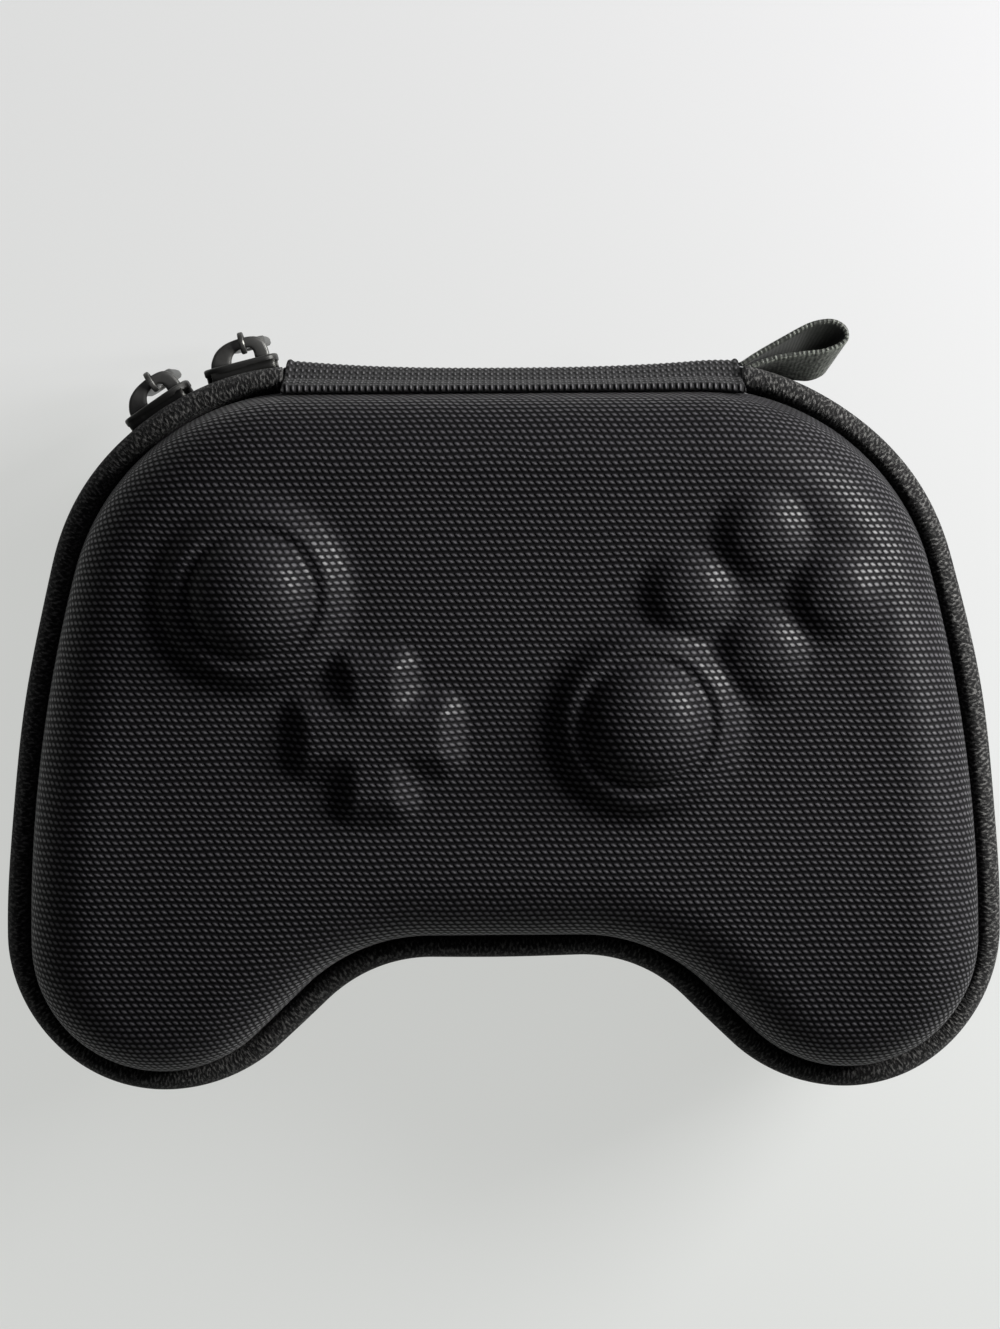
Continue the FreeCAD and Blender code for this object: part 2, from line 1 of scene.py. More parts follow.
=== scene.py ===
# %% [markdown]
# A moulded carrying case for a game controller, closed and lying on its smooth lower half.
# The construction model gives the true size and the moving bodies. This lesson dresses it:
# each soft piece is worked out again as a fine surface, with the weave, roll and slack that
# the real cloth has, and put exactly where the plain solid lies.

# %% Load the construction model and the tools
import json
import math

import bmesh
import bpy
import numpy as np
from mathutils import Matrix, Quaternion, Vector


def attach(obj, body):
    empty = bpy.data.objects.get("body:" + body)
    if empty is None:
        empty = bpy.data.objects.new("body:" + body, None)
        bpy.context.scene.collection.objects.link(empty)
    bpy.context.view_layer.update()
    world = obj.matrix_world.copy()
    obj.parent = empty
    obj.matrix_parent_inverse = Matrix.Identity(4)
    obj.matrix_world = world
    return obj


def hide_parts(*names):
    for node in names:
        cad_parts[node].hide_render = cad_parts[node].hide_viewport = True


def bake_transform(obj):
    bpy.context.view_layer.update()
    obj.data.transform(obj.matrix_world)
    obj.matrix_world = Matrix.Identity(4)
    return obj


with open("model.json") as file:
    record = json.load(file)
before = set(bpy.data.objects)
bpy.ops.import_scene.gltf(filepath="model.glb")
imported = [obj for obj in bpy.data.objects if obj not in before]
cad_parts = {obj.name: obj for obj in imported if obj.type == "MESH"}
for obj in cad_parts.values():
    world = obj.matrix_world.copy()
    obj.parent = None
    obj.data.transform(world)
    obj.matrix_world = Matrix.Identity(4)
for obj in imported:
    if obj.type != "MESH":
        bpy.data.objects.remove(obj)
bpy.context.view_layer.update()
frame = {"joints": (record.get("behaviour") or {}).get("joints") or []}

# %% [markdown]
# Lengths below are millimetres, because that is how such a case is measured. They become
# metres only when a mesh is made. Heights are counted from the parting plane, where the two
# halves of the zip meet, which is the height of the lid's hinge line.

# %% Sizes that several pieces share
MM = 0.001
up = np.array([0, 0, 1.0])
hinge = next(j for j in frame["joints"] if j["name"] == "lid_hinge")
parting = hinge["pos_m"][2] / MM
rear_edge = hinge["pos_m"][1] / MM
lid_height = 28.0
tray_height = parting
shell_inset = 4.6
shell_wall = 4.0
rim_gap = 4.8
land_height = 11.0
draft = math.radians(10)
print("parting plane", parting, "rear edge", rear_edge)

# %% [markdown]
# Every ring of the case follows one outline: the straight rear edge, a corner, a long side,
# a grip, a straight neck and the notch, which are arcs and straight runs that meet without a
# corner. A point on it is found from the distance walked round it, and an inner ring is the
# same point moved back along the outward normal. So one function serves every band, wall
# and seam, and rings at different insets always run side by side.

# %% The outline of the rim
case_width = 170.0
corner_radius = 44.8
side_bulge = 7.2
hinge_flat = case_width - 2 * (corner_radius + side_bulge)
side_radius = 246.0
grip_radius = 27.3
neck_slope = math.radians(44)
notch_depth = 22.9
notch_radius = 26.0
corner_centre = np.array([hinge_flat / 2, rear_edge - corner_radius])
grip_centre = np.array([case_width / 2 - grip_radius, -rear_edge + grip_radius])


def long_side_centre():
    """Centre of the arc that touches the corner's and the grip's arcs from outside.

    It lies at the two known distances from their centres, so it is where two circles cross.
    """
    reach_a = side_radius - corner_radius
    reach_b = side_radius - grip_radius
    step = grip_centre - corner_centre
    span = np.hypot(*step)
    along = (span**2 + reach_a**2 - reach_b**2) / (2 * span)
    aside = math.sqrt(reach_a**2 - along**2)
    return corner_centre + (along * step + aside * np.array([step[1], -step[0]])) / span


def rim_runs():
    """The stretches of the right half, as (length, centre, radius, first angle, turn).

    A straight run has no radius: its centre is its first point and its angle its heading.
    Turn is -1 for an arc walked clockwise and +1 for the notch, walked the other way.
    """
    side = long_side_centre()
    corner_end = math.atan2(*(corner_centre - side)[::-1])
    side_end = math.atan2(*(grip_centre - side)[::-1])
    heading = math.pi - neck_slope
    grip_end = heading + math.pi / 2 - 2 * math.pi
    grip_normal = np.array([math.cos(grip_end), math.sin(grip_end)])
    leave = grip_centre + grip_radius * grip_normal
    notch_line = -rear_edge + notch_depth
    meet = leave[0] + (notch_line - leave[1]) / math.tan(heading)
    notch_x = meet - notch_radius * math.tan(neck_slope / 2)
    notch_centre = np.array([notch_x, notch_line - notch_radius])
    neck = float(np.hypot(*(notch_centre - notch_radius * grip_normal - leave)))
    notch_turn = -math.pi / 2 - grip_end
    return [
        (hinge_flat / 2, np.array([0.0, rear_edge]), None, 0.0, 0),
        (corner_radius * (math.pi / 2 - corner_end), corner_centre, corner_radius, math.pi / 2, -1),
        (side_radius * (corner_end - side_end), side, side_radius, corner_end, -1),
        (grip_radius * (side_end - grip_end), grip_centre, grip_radius, side_end, -1),
        (neck, leave, None, heading, 0),
        (notch_radius * notch_turn, notch_centre, notch_radius, grip_end + math.pi, 1),
        (notch_x, np.array([notch_x, notch_line]), None, math.pi, 0),
    ]


runs = rim_runs()
half_rim = sum(run[0] for run in runs)


def rim(distance):
    """Point and outward normal at a distance walked clockwise from the middle of the hinge.

    The left half mirrors the right one, so the distance is folded at the notch's middle. On
    an arc the angle grows with the distance over the radius, and the normal is the angle's
    direction. On a straight run the normal is the heading turned left by a right angle.
    """
    walked = np.mod(np.asarray(distance, float), 2 * half_rim)
    right = walked <= half_rim
    walked = np.where(right, walked, 2 * half_rim - walked)
    point = np.zeros(walked.shape + (2,))
    normal = np.zeros(walked.shape + (2,))
    start = 0.0
    for length, centre, radius, angle, turn in runs:
        here = (walked >= start - 1e-6) & (walked <= start + length + 1e-6)
        part = walked[here] - start
        if radius is None:
            point[here] = centre + part[:, None] * np.array([math.cos(angle), math.sin(angle)])
            normal[here] = (-math.sin(angle), math.cos(angle))
        else:
            a = angle + turn * part / radius
            direction = np.stack([np.cos(a), np.sin(a)], axis=-1)
            point[here] = centre + radius * direction
            normal[here] = -turn * direction
        start += length
    flip = np.where(right, 1.0, -1.0)
    point[..., 0] *= flip
    normal[..., 0] *= flip
    return point, normal


def ring_points(distance, inset, height, side):
    """Points at an inset from the outline and a height above (side 1) or below (-1) parting."""
    point, normal = rim(distance)
    inset = np.broadcast_to(inset, point.shape[:-1])
    height = np.broadcast_to(height, point.shape[:-1])
    plan = point - inset[..., None] * normal
    return np.concatenate([plan, (parting + side * height)[..., None]], axis=-1)


print("rim is", round(2 * half_rim, 1), "mm round")

# %% [markdown]
# A mesh is put together from numpy arrays: all the points at once, then faces as rows of
# point numbers. Each set of faces brings its own texture coordinates, in millimetres of
# cloth, so that a weave has its true pitch and can run on across a join. Most pieces are
# tubes: a grid whose rows run round the piece, closed at its ends by fans.

# %% Helpers that turn arrays into a mesh


def grid_faces(rows, columns, wrap_rows=False, wrap_columns=False):
    """Quads of a grid of points, and the unwrapped row and column of each quad's corners."""
    i, j = np.meshgrid(
        np.arange(rows if wrap_rows else rows - 1),
        np.arange(columns if wrap_columns else columns - 1),
        indexing="ij",
    )
    i = i.ravel()
    j = j.ravel()
    corner_i = np.stack([i, i + 1, i + 1, i], axis=1)
    corner_j = np.stack([j, j, j + 1, j + 1], axis=1)
    return (corner_i % rows) * columns + corner_j % columns, corner_i, corner_j


def end_caps(rows, columns, hub):
    """Fans that close both ends of a tube whose rows run round it and whose columns run along.

    The two hubs are the point numbers hub and hub + 1, put after the tube's own points.
    """
    ring = np.arange(rows) * columns
    first = np.stack([ring, np.roll(ring, -1), np.full(rows, hub)], axis=1)
    last = np.stack([np.roll(ring, -1), ring, np.full(rows, hub + 1)], axis=1)
    last[:, :2] += columns - 1
    return [(cap, np.zeros(cap.shape + (2,)), 0) for cap in (first, last)]


def mesh_object(name, points, patches, materials):
    """One object from points in millimetres and patches of (faces, corner UVs, material)."""
    mesh = bpy.data.meshes.new(name)
    mesh.vertices.add(len(points))
    mesh.vertices.foreach_set("co", (np.asarray(points) * MM).astype(np.float32).ravel())
    corners = np.concatenate([faces.ravel() for faces, uv, slot in patches])
    sizes = np.concatenate([np.full(len(faces), faces.shape[1]) for faces, uv, slot in patches])
    slots = np.concatenate([np.full(len(faces), slot) for faces, uv, slot in patches])
    cloth = np.concatenate([uv.reshape(-1, 2) for faces, uv, slot in patches])
    mesh.loops.add(len(corners))
    mesh.loops.foreach_set("vertex_index", corners.astype(np.int32))
    mesh.polygons.add(len(sizes))
    mesh.polygons.foreach_set("loop_start", (np.cumsum(sizes) - sizes).astype(np.int32))
    mesh.polygons.foreach_set("material_index", slots.astype(np.int32))
    mesh.polygons.foreach_set("use_smooth", np.ones(len(sizes), bool))
    layer = mesh.uv_layers.new(name="cloth")
    layer.data.foreach_set("uv", cloth.astype(np.float32).ravel())
    mesh.update(calc_edges=True)
    mesh.validate()
    for material in materials:
        mesh.materials.append(material)
    piece = bpy.data.objects.new(name, mesh)
    bpy.context.scene.collection.objects.link(piece)
    triangles = int((sizes - 2).sum())
    print(f"{name}: {len(points)} points, {triangles} triangles")
    return piece


def closed_object(name, points, patches, materials):
    """An object from patches that close it, with every face then turned outward."""
    piece = mesh_object(name, points, patches, materials)
    form = bmesh.new()
    form.from_mesh(piece.data)
    bmesh.ops.recalc_face_normals(form, faces=form.faces)
    form.to_mesh(piece.data)
    form.free()
    return piece


def with_hubs(points):
    """A grid's points in one list, then the middles of its first and last column."""
    return np.vstack([points.reshape(-1, 3), points[:, [0, -1]].mean(axis=0)])


def tube_object(name, points, along, around, material, looped=False):
    """A closed object from a grid of points: rows run round it and columns along it.

    Along holds the cloth's first coordinate at each column, and around its second at each
    row and at the first row again. Ends that don't meet each other are closed by fans.
    """
    rows, columns = points.shape[:2]
    faces, i, j = grid_faces(rows, columns, True, looped)
    patches = [(faces, np.stack([along[j], around[i]], axis=-1), 0)]
    if looped:
        return closed_object(name, points.reshape(-1, 3), patches, [material])
    patches += end_caps(rows, columns, rows * columns)
    return closed_object(name, with_hubs(points), patches, [material])


def walked_along(line):
    """The distance walked from a line's first point to each of its points."""
    steps = np.linalg.norm(np.diff(line, axis=0), axis=1)
    return np.concatenate([[0], np.cumsum(steps)])


def soft_curve(keys, count, softness=0.0):
    """A smooth line through key points, as count points evenly spaced along it.

    Between two keys it is the cubic that leaves and arrives along the line between its
    neighbours. Softness, in the keys' units, then averages it with its surroundings.
    """
    keys = np.asarray(keys, float)
    before = np.vstack([2 * keys[0] - keys[1], keys[:-1]])
    after = np.vstack([keys[1:], 2 * keys[-1] - keys[-2]])
    slope = (after - before) / 2
    t = np.linspace(0, 1, 40, endpoint=False)[None, :, None]
    a, b, m, n = keys[:-1, None], keys[1:, None], slope[:-1, None], slope[1:, None]
    cubic = (2 * t**3 - 3 * t**2 + 1) * a + (t**3 - 2 * t**2 + t) * m
    cubic = cubic + (3 * t**2 - 2 * t**3) * b + (t**3 - t**2) * n
    line = np.vstack([cubic.reshape(-1, keys.shape[1]), keys[-1:]])
    walked = walked_along(line)
    even = np.linspace(0, walked[-1], count)
    smooth = np.stack([np.interp(even, walked, column) for column in line.T], axis=1)
    if softness > 0:
        reach = max(1, int(round(softness / walked[-1] * count)))
        kernel = np.hanning(2 * reach + 3)[1:-1]
        kernel /= kernel.sum()
        lead = 2 * smooth[0] - smooth[reach:0:-1]
        trail = 2 * smooth[-1] - smooth[-2:-reach - 2:-1]
        columns = np.vstack([lead, smooth, trail]).T
        smooth = np.stack([np.convolve(column, kernel, "valid") for column in columns], axis=1)
    return smooth


def ease(low, high, value):
    """0 below low, 1 above high, and an even S between them."""
    t = np.clip((value - low) / (high - low), 0, 1)
    return t * t * (3 - 2 * t)


# %% [markdown]
# The photograph looks almost straight down, from a little behind the middle of the case,
# half a metre away. The camera comes first, because every later choice is judged through it.

# %% Camera
camera_data = bpy.data.cameras.new("camera")
camera = bpy.data.objects.new("camera", camera_data)
bpy.context.scene.collection.objects.link(camera)
bpy.context.scene.camera = camera
camera_target = Vector((-0.00046, 0.0105, parting * MM))
camera_place = Vector((-0.00046, 0.055, parting * MM + 0.518))
camera_roll = math.radians(180 - 0.45)
camera_data.sensor_width = 36.0
camera_data.lens = 81.9
camera.location = camera_place
look = (camera_target - camera_place).to_track_quat("-Z", "Y")
camera.rotation_mode = "QUATERNION"
camera.rotation_quaternion = look @ Quaternion((0, 0, 1), camera_roll)
print("camera stands", round(camera_place.z, 3), "m above the table")

# %% [markdown]
# The studio is a pale sheet of paper and soft lamps. The main lamp stands low, to the right
# and behind, as the window did, so each moulded form is bright there and dark across from
# it. Wide lamps fill the rest, faintly violet behind and green in front. The paper is given a
# glow of its own, a painted light that is no lamp, which keeps the shadow on it soft.

# %% Shader values written as arithmetic


class Field:
    """A value that varies over a surface. It wraps one output socket of a material.

    Arithmetic on it adds Math nodes, and make() adds any other node.
    """

    def __init__(self, tree, socket):
        self.tree = tree
        self.socket = socket

    def make(self, kind, settings=None, inputs=None, output=0):
        """Adds a node: its settings are set first, then the values or links of its sockets."""
        node = self.tree.nodes.new("ShaderNode" + kind)
        for name, value in (settings or {}).items():
            setattr(node, name, value)
        for key, value in (inputs or {}).items():
            if isinstance(value, Field):
                self.tree.links.new(value.socket, node.inputs[key])
            else:
                node.inputs[key].default_value = value
        return Field(self.tree, node.outputs[output])

    def math(self, operation, *others):
        return self.make("Math", {"operation": operation}, dict(enumerate((self,) + others)))

    def __add__(self, other):
        return self.math("ADD", other)

    def __radd__(self, other):
        return self.math("ADD", other)

    def __sub__(self, other):
        return self.math("SUBTRACT", other)

    def __rsub__(self, other):
        return (self * -1.0) + other

    def __mul__(self, other):
        return self.math("MULTIPLY", other)

    def __rmul__(self, other):
        return self.math("MULTIPLY", other)

    def __truediv__(self, other):
        return self.math("DIVIDE", other)

    def wave(self):
        """Cosine of the value counted in whole turns."""
        return (self * (2 * math.pi)).math("COSINE")

    def swing(self):
        """Sine of the value counted in whole turns."""
        return (self * (2 * math.pi)).math("SINE")

    def step(self, low, high):
        """An even S from 0 at low to 1 at high."""
        settings = {"interpolation_type": "SMOOTHSTEP"}
        return self.make("MapRange", settings, {"Value": self, "From Min": low, "From Max": high})

    def mix(self, low, high):
        """A colour between two others, with this value as the share of the second."""
        return self.make("Mix", {"data_type": "RGBA"}, {0: self, 6: low, 7: high}, output=2)

    def noise(self, scale, detail=2.0):
        """Cloudy noise over this place. Its value is near a half."""
        return self.make("TexNoise", {}, {"Vector": self, "Scale": scale, "Detail": detail})


def rgb(red, green, blue):
    return (red, green, blue, 1.0)


def finish(name, recipe, **constants):
    """A material. The recipe gets a blank Field and returns its colour, roughness and relief.

    Relief is a height from 0 to 1 and the millimetres that 1 stands for. Constants are set on
    the shader's own sockets.
    """
    material = bpy.data.materials.new(name)
    material.use_nodes = True
    tree = material.node_tree
    shader = tree.nodes["Principled BSDF"]
    for socket, value in constants.items():
        shader.inputs[socket.replace("_", " ")].default_value = value
    looks = recipe(Field(tree, None))
    for socket in ("Base Color", "Roughness", "Metallic", "Coat Weight"):
        value = looks.get(socket)
        if isinstance(value, Field):
            tree.links.new(value.socket, shader.inputs[socket])
        elif value is not None:
            shader.inputs[socket].default_value = value
    if "Relief" in looks:
        height, depth = looks["Relief"]
        bump = height.make("Bump", {}, {"Height": height, "Distance": depth * MM, "Strength": 1.0})
        tree.links.new(bump.socket, shader.inputs["Normal"])
    return material


def cloth_place(blank):
    """The place on the cloth in millimetres, and its first and second coordinate alone."""
    place = blank.make("TexCoord", output="UV")
    across = blank.make("SeparateXYZ", {}, {0: place})
    return place, across, Field(blank.tree, across.socket.node.outputs[1])


# %% Floor, lamps and world
paper_near = rgb(0.145, 0.150, 0.150)
paper_far = rgb(0.150, 0.146, 0.160)


def paper(blank):
    place = blank.make("TexCoord", output="Object")
    across = blank.make("SeparateXYZ", {}, {0: place}, output=1)
    tint = across.step(-0.12, 0.16).mix(paper_near, paper_far)
    return {"Base Color": tint, "Roughness": 0.75}


def flat_sheet(name, size, height, material):
    """A square on the table, made of one face."""
    corners = np.array([[-1, -1, 0], [1, -1, 0], [1, 1, 0], [-1, 1, 0]], float) * size / MM
    corners[:, 2] = height
    faces = np.array([[0, 1, 2, 3]])
    return mesh_object(name, corners, [(faces, corners[faces][..., :2], 0)], [material])


# The paper's glow is painted light: it brightens the floor and fills the shadow on it.
glow = {"Emission_Color": rgb(0.985, 1.0, 0.97), "Emission_Strength": 0.57}
floor = flat_sheet("paper_floor", 3.0, -0.02, finish("paper", paper, **glow))


def lamp(name, place, size, power, colour):
    """A square area lamp that faces the case."""
    data = bpy.data.lights.new(name, "AREA")
    data.size = size
    data.energy = power
    data.color = colour
    lamp_object = bpy.data.objects.new(name, data)
    bpy.context.scene.collection.objects.link(lamp_object)
    lamp_object.location = place
    lamp_object.rotation_mode = "QUATERNION"
    aim = Vector((0, 0, parting * MM)) - Vector(place)
    lamp_object.rotation_quaternion = aim.to_track_quat("-Z", "Y")


lamp("window", (0.42, 0.21, 0.26), 0.24, 6.6, (1.0, 0.99, 0.98))
lamp("sky", (0.35, 0.75, 1.15), 1.0, 1.7, (0.93, 0.90, 1.0))
lamp("room", (0.9, -0.8, 0.8), 0.8, 0.8, (0.92, 1.0, 0.90))
world = bpy.data.worlds.new("studio")
bpy.context.scene.world = world
world.use_nodes = True
sky_light = world.node_tree.nodes["Background"].inputs
sky_light["Color"].default_value = rgb(0.94, 0.94, 0.97)
sky_light["Strength"].default_value = 0.07
bpy.context.scene.view_settings.view_transform = "Standard"

# %% [markdown]
# The shells are sheets of foam with cloth bonded to both faces, pressed hot over a mould. A
# box with rounded edges would show its corners, so the outer face is one sheet of points.
# Its middle is a patch stretched between four stretches of the outline. From the patch's
# edge, rings run down the shoulder and the wall, round the rim and up inside to the ceiling.

# %% The patch stretched over the lid
crown_start = -17.0
crown_radius = 130.0
outer_shoulder = 12.0
inner_shoulder = 8.0
wall_tilt = math.pi / 2 - draft


def crown_drop(y):
    """How far the lid's top has fallen at y: an arc of the crown radius from its start."""
    run = np.maximum(crown_start - y, 0)
    return crown_radius - np.sqrt(crown_radius**2 - run**2)


def crown_slope(y):
    """Angle of the lid's top at y: the arc sine of the run over the crown radius."""
    return np.arcsin(np.maximum(crown_start - y, 0) / crown_radius)


def wall_inset(height, base):
    """Inset of a wall at a height: upright at the rim, then leaning in at the draft angle.

    The bend between the two is rounded: half of the rise plus its length over the bend.
    """
    rise = height - land_height
    return base + math.tan(draft) * (rise + np.sqrt(rise**2 + 4.0)) / 2


def shoulder(distance, base, top, radius, crowned):
    """Arc from the top to the wall at each distance: its centre, first angle and insets.

    The arc starts at the slope that the top has there and ends where the wall leans in. Its
    centre depends on the top's height at its own start, so it is found by a few repeats.
    """
    point, normal = rim(distance)
    edge = np.full(distance.shape, base + 13.0)
    for repeat in range(6):
        y = point[:, 1] - edge * normal[:, 1]
        fall = crown_drop(y) if crowned else 0 * y
        slope = crown_slope(y) * np.clip(-normal[:, 1], 0, 1) if crowned else 0 * y
        centre_height = top - fall - radius * np.cos(slope)
        foot = centre_height + radius * math.cos(wall_tilt)
        centre_inset = wall_inset(foot, base) + radius * math.sin(wall_tilt)
        edge = centre_inset - radius * np.sin(slope)
    return centre_inset, centre_height, slope, edge


def even_stops(first, last, count, inset):
    """Distances along the rim, evenly spaced as measured on a ring at an inset."""
    fine = np.linspace(first, last, 2000)
    point, normal = rim(fine)
    walked = walked_along(point - inset * normal)
    return np.interp(np.linspace(0, walked[-1], count + 1), walked, fine)


rear_corner = hinge_flat / 2 + corner_radius * math.radians(36)
grip_corner = sum(run[0] for run in runs[:3]) + grip_radius * math.radians(52)
patch_inset = 12


def patch_stops(across, down):
    """Distances of the patch's edge points, clockwise from its rear left corner."""
    corners = [-rear_corner, rear_corner, grip_corner, 2 * half_rim - grip_corner]
    corners.append(2 * half_rim - rear_corner)
    counts = (across, down, across, down)
    ends = zip(corners, corners[1:], counts)
    return [even_stops(first, last, count, patch_inset) for first, last, count in ends]


def patch(across, down, base, top, radius, crowned, side):
    """A sheet between four curves: each point blends the curves beside it and across.

    It is the blend from left to right plus the blend from rear to front, less the blend of
    the four corners. Heights then come from the crown, so the sheet meets its shoulder.
    """
    curves = []
    for stops in patch_stops(across, down):
        centre_inset, centre_height, slope, edge = shoulder(stops, base, top, radius, crowned)
        point, normal = rim(stops)
        curves.append(point - edge[:, None] * normal)
    rear, right, front, left = curves
    front = front[::-1]
    left = left[::-1]
    u = np.linspace(0, 1, across + 1)[:, None, None]
    v = np.linspace(0, 1, down + 1)[None, :, None]
    plan = (1 - v) * rear[:, None] + v * front[:, None] + (1 - u) * left[None] + u * right[None]
    plan = plan - (1 - u) * (1 - v) * rear[0] - u * (1 - v) * rear[-1]
    plan = plan - (1 - u) * v * front[0] - u * v * front[-1]
    fall = crown_drop(plan[..., 1]) if crowned else 0
    height = parting + side * (top - fall) + 0 * plan[..., 0]
    return np.concatenate([plan, height[..., None]], axis=-1)


def patch_edge(across, down):
    """Numbers of the patch's edge points, clockwise from its rear left corner."""
    number = np.arange((across + 1) * (down + 1)).reshape(across + 1, down + 1)
    sides = [number[:-1, 0], number[-1, :-1], number[:0:-1, -1], number[0, :0:-1]]
    return np.concatenate(sides)


# %% [markdown]
# The moulding over each stick is a turned form: a flared foot, a collar, a groove and a dome
# with a soft shoulder. The sheet is not only lifted there. Its points also slide outward or
# inward, so that the steep sides get as many points as the flat ones, as real cloth is
# stretched over the mould. Buttons and the plus are low and soft, and lifting is enough.

# %% Reliefs pressed into the lid
left_stick = np.array([-40.7, 24.5])
right_stick = np.array([23.1, 3.2])
stick_profile = soft_curve(
    [
        (0, 8.6), (2.6, 8.4), (5.0, 7.8), (7.2, 6.7), (8.9, 5.1), (9.8, 3.85), (10.4, 3.25),
        (11.0, 3.15), (11.8, 3.35), (12.6, 3.3), (13.5, 2.7), (14.4, 1.85), (15.4, 0.85),
        (16.8, 0.2), (18.4, 0.0),
    ],
    300,
    0.7,
)
stick_walk = walked_along(stick_profile)
stick_reach = float(stick_profile[-1, 0])
stick_hollow = 8.6
pad_centre = np.array([-21.1, 1.5])
pad_span = 27.4
pad_arm = 12.2
pad_height = 3.1
pad_rounding = 3.0
pad_fill = 2.6
button_centre = np.array([42.1, 24.0])
button_reach = np.array([12.0, 9.8])
button_height = 2.9


def press_stick(plan, centre, radii):
    """Slides points near a stick, and gives how far each is lifted.

    A point at a share of the reach goes to the radius found at the same share of the way
    along the profile, and is lifted to the profile's height there.
    """
    offset = plan - centre
    distance = np.hypot(offset[..., 0], offset[..., 1])
    near = distance < stick_reach
    share = np.clip(distance / stick_reach, 0, 1) * stick_walk[-1]
    scale = np.interp(share, stick_walk, radii) / np.maximum(distance, 1e-6)
    scale = np.where(near & (distance > 1e-6), scale, 1)
    lift = np.where(near, np.interp(share, stick_walk, stick_profile[:, 1]), 0)
    return centre + offset * scale[..., None], lift


def plus_distance(plan):
    """Distance outside the plus, negative inside: the nearer of two rounded bars.

    A bar's distance is that to a smaller box less the corner's rounding. The two are joined
    by a smooth minimum, which fills the plus's inner corners.
    """
    long_side = pad_span / 2 - pad_rounding
    short_side = pad_arm / 2 - pad_rounding
    offset = np.abs(plan - pad_centre)
    bars = []
    for size in ((long_side, short_side), (short_side, long_side)):
        gap = offset - np.array(size)
        outside = np.hypot(np.maximum(gap[..., 0], 0), np.maximum(gap[..., 1], 0))
        bars.append(outside + np.minimum(np.max(gap, axis=-1), 0) - pad_rounding)
    blend = np.clip(0.5 + (bars[1] - bars[0]) / (2 * pad_fill), 0, 1)
    return bars[1] + (bars[0] - bars[1]) * blend - pad_fill * blend * (1 - blend)


def press_reliefs(points):
    """Lifts the lid's points over the sticks, the plus and the buttons, and makes it uneven."""
    plan = points[..., :2]
    lift = np.zeros(plan.shape[:-1])
    for centre in (left_stick, right_stick):
        plan, rise = press_stick(plan, centre, stick_profile[:, 0])
        lift = lift + rise
    lift = lift + pad_height * ease(2.2, -3.8, plus_distance(plan))
    for turn in range(4):
        angle = turn * math.pi / 2
        centre = button_centre + button_reach * np.array([math.cos(angle), math.sin(angle)])
        distance = np.hypot(*np.moveaxis(plan - centre, -1, 0))
        dome = 0.6 * ease(8.8, 3.6, distance) + 0.4 * ease(7.6, 0.0, distance)
        lift = lift + button_height * dome
    x = plan[..., 0]
    y = plan[..., 1]
    waves = np.sin(x / 9.1 + 1.3) * np.sin(y / 7.7 + 0.4) + 0.6 * np.sin(x / 5.3 - y / 6.1)
    height = points[..., 2] - parting
    lift = (lift + 0.07 * waves) * ease(14.0, 22.0, height)
    return np.concatenate([plan, (points[..., 2] + lift)[..., None]], axis=-1)


def press_ceiling(points):
    """Hollows the ceiling behind the two sticks."""
    lift = np.zeros(points.shape[:-1])
    for centre in (left_stick, right_stick):
        distance = np.hypot(*np.moveaxis(points[..., :2] - centre, -1, 0))
        lift = lift + stick_hollow * ease(10.5, 5.5, distance)
    return points + lift[..., None] * up


def lay_cloth(plan):
    """Where each lid point's cloth lay before pressing: the steep sides are stretched most.

    Over a stick the cloth's radius grows with the level part of the profile's length and a
    small share of its whole length, scaled to end at the stick's reach.
    """
    step = np.diff(stick_profile, axis=0)
    used = np.abs(step[:, 0]) + 0.12 * np.hypot(*step.T)
    radius = np.concatenate([[0], np.cumsum(used)])
    radius *= stick_reach / radius[-1]
    for centre in (left_stick, right_stick):
        plan = press_stick(plan, centre, radius)[0]
    return plan


# %% [markdown]
# Below the patch the sheet is rings: down the shoulder's arc and the leaning wall, round the
# rim, then up inside with a third as many points, because the inside is plain. The cloth was
# drawn down over the mould, so its weave is laid out ever more widely down the wall.

# %% Rings of the wall, and the whole shell
draw_length = 140.0
lip_round = 0.6
lip_step = 0.5


def wall_rings(distance, base, top, radius, crowned, side, rows):
    """Rings of one face: the shoulder's arc, then the wall down to the rim."""
    centre_inset, centre_height, slope, edge = shoulder(distance, base, top, radius, crowned)
    rings = []
    for share in np.linspace(0, 1, rows[0] + 1)[1:]:
        angle = slope + (wall_tilt - slope) * share
        inset = centre_inset - radius * np.sin(angle)
        height = centre_height + radius * np.cos(angle)
        rings.append(ring_points(distance, inset, height, side))
    rim_end = rim_gap + lip_round
    for share in np.linspace(0, 1, rows[1] + 1)[1:]:
        low = height + (rim_end - height) * share
        rings.append(ring_points(distance, wall_inset(low, base), low, side))
    return np.stack(rings)


def strip_faces(rings):
    """Quads between each row of point numbers and the next, closed round."""
    beside = np.roll(rings, -1, axis=1)
    corners = [rings[:-1], beside[:-1], beside[1:], rings[1:]]
    return np.stack(corners, axis=-1).reshape(-1, 4)


def stitch_rings(outer, inner):
    """Triangles between a ring and one with a third as many points."""
    a, b, c, d = [np.roll(outer, -k)[::3] for k in range(4)]
    e, f = inner, np.roll(inner, -1)
    groups = [(a, b, e), (b, f, e), (b, c, f), (c, d, f)]
    return np.concatenate([np.stack(group, axis=1) for group in groups])


def drawn_cloth(distance, edge_ring, rings):
    """Cloth places down the wall: out from the edge by a length that grows ever more slowly."""
    line = np.concatenate([edge_ring[None], rings])
    walked = np.cumsum(np.linalg.norm(np.diff(line, axis=0), axis=-1), axis=0)
    laid = draw_length * (1 - np.exp(-walked / draw_length))
    normal = rim(distance)[1]
    return edge_ring[None, :, :2] + laid[..., None] * normal[None]


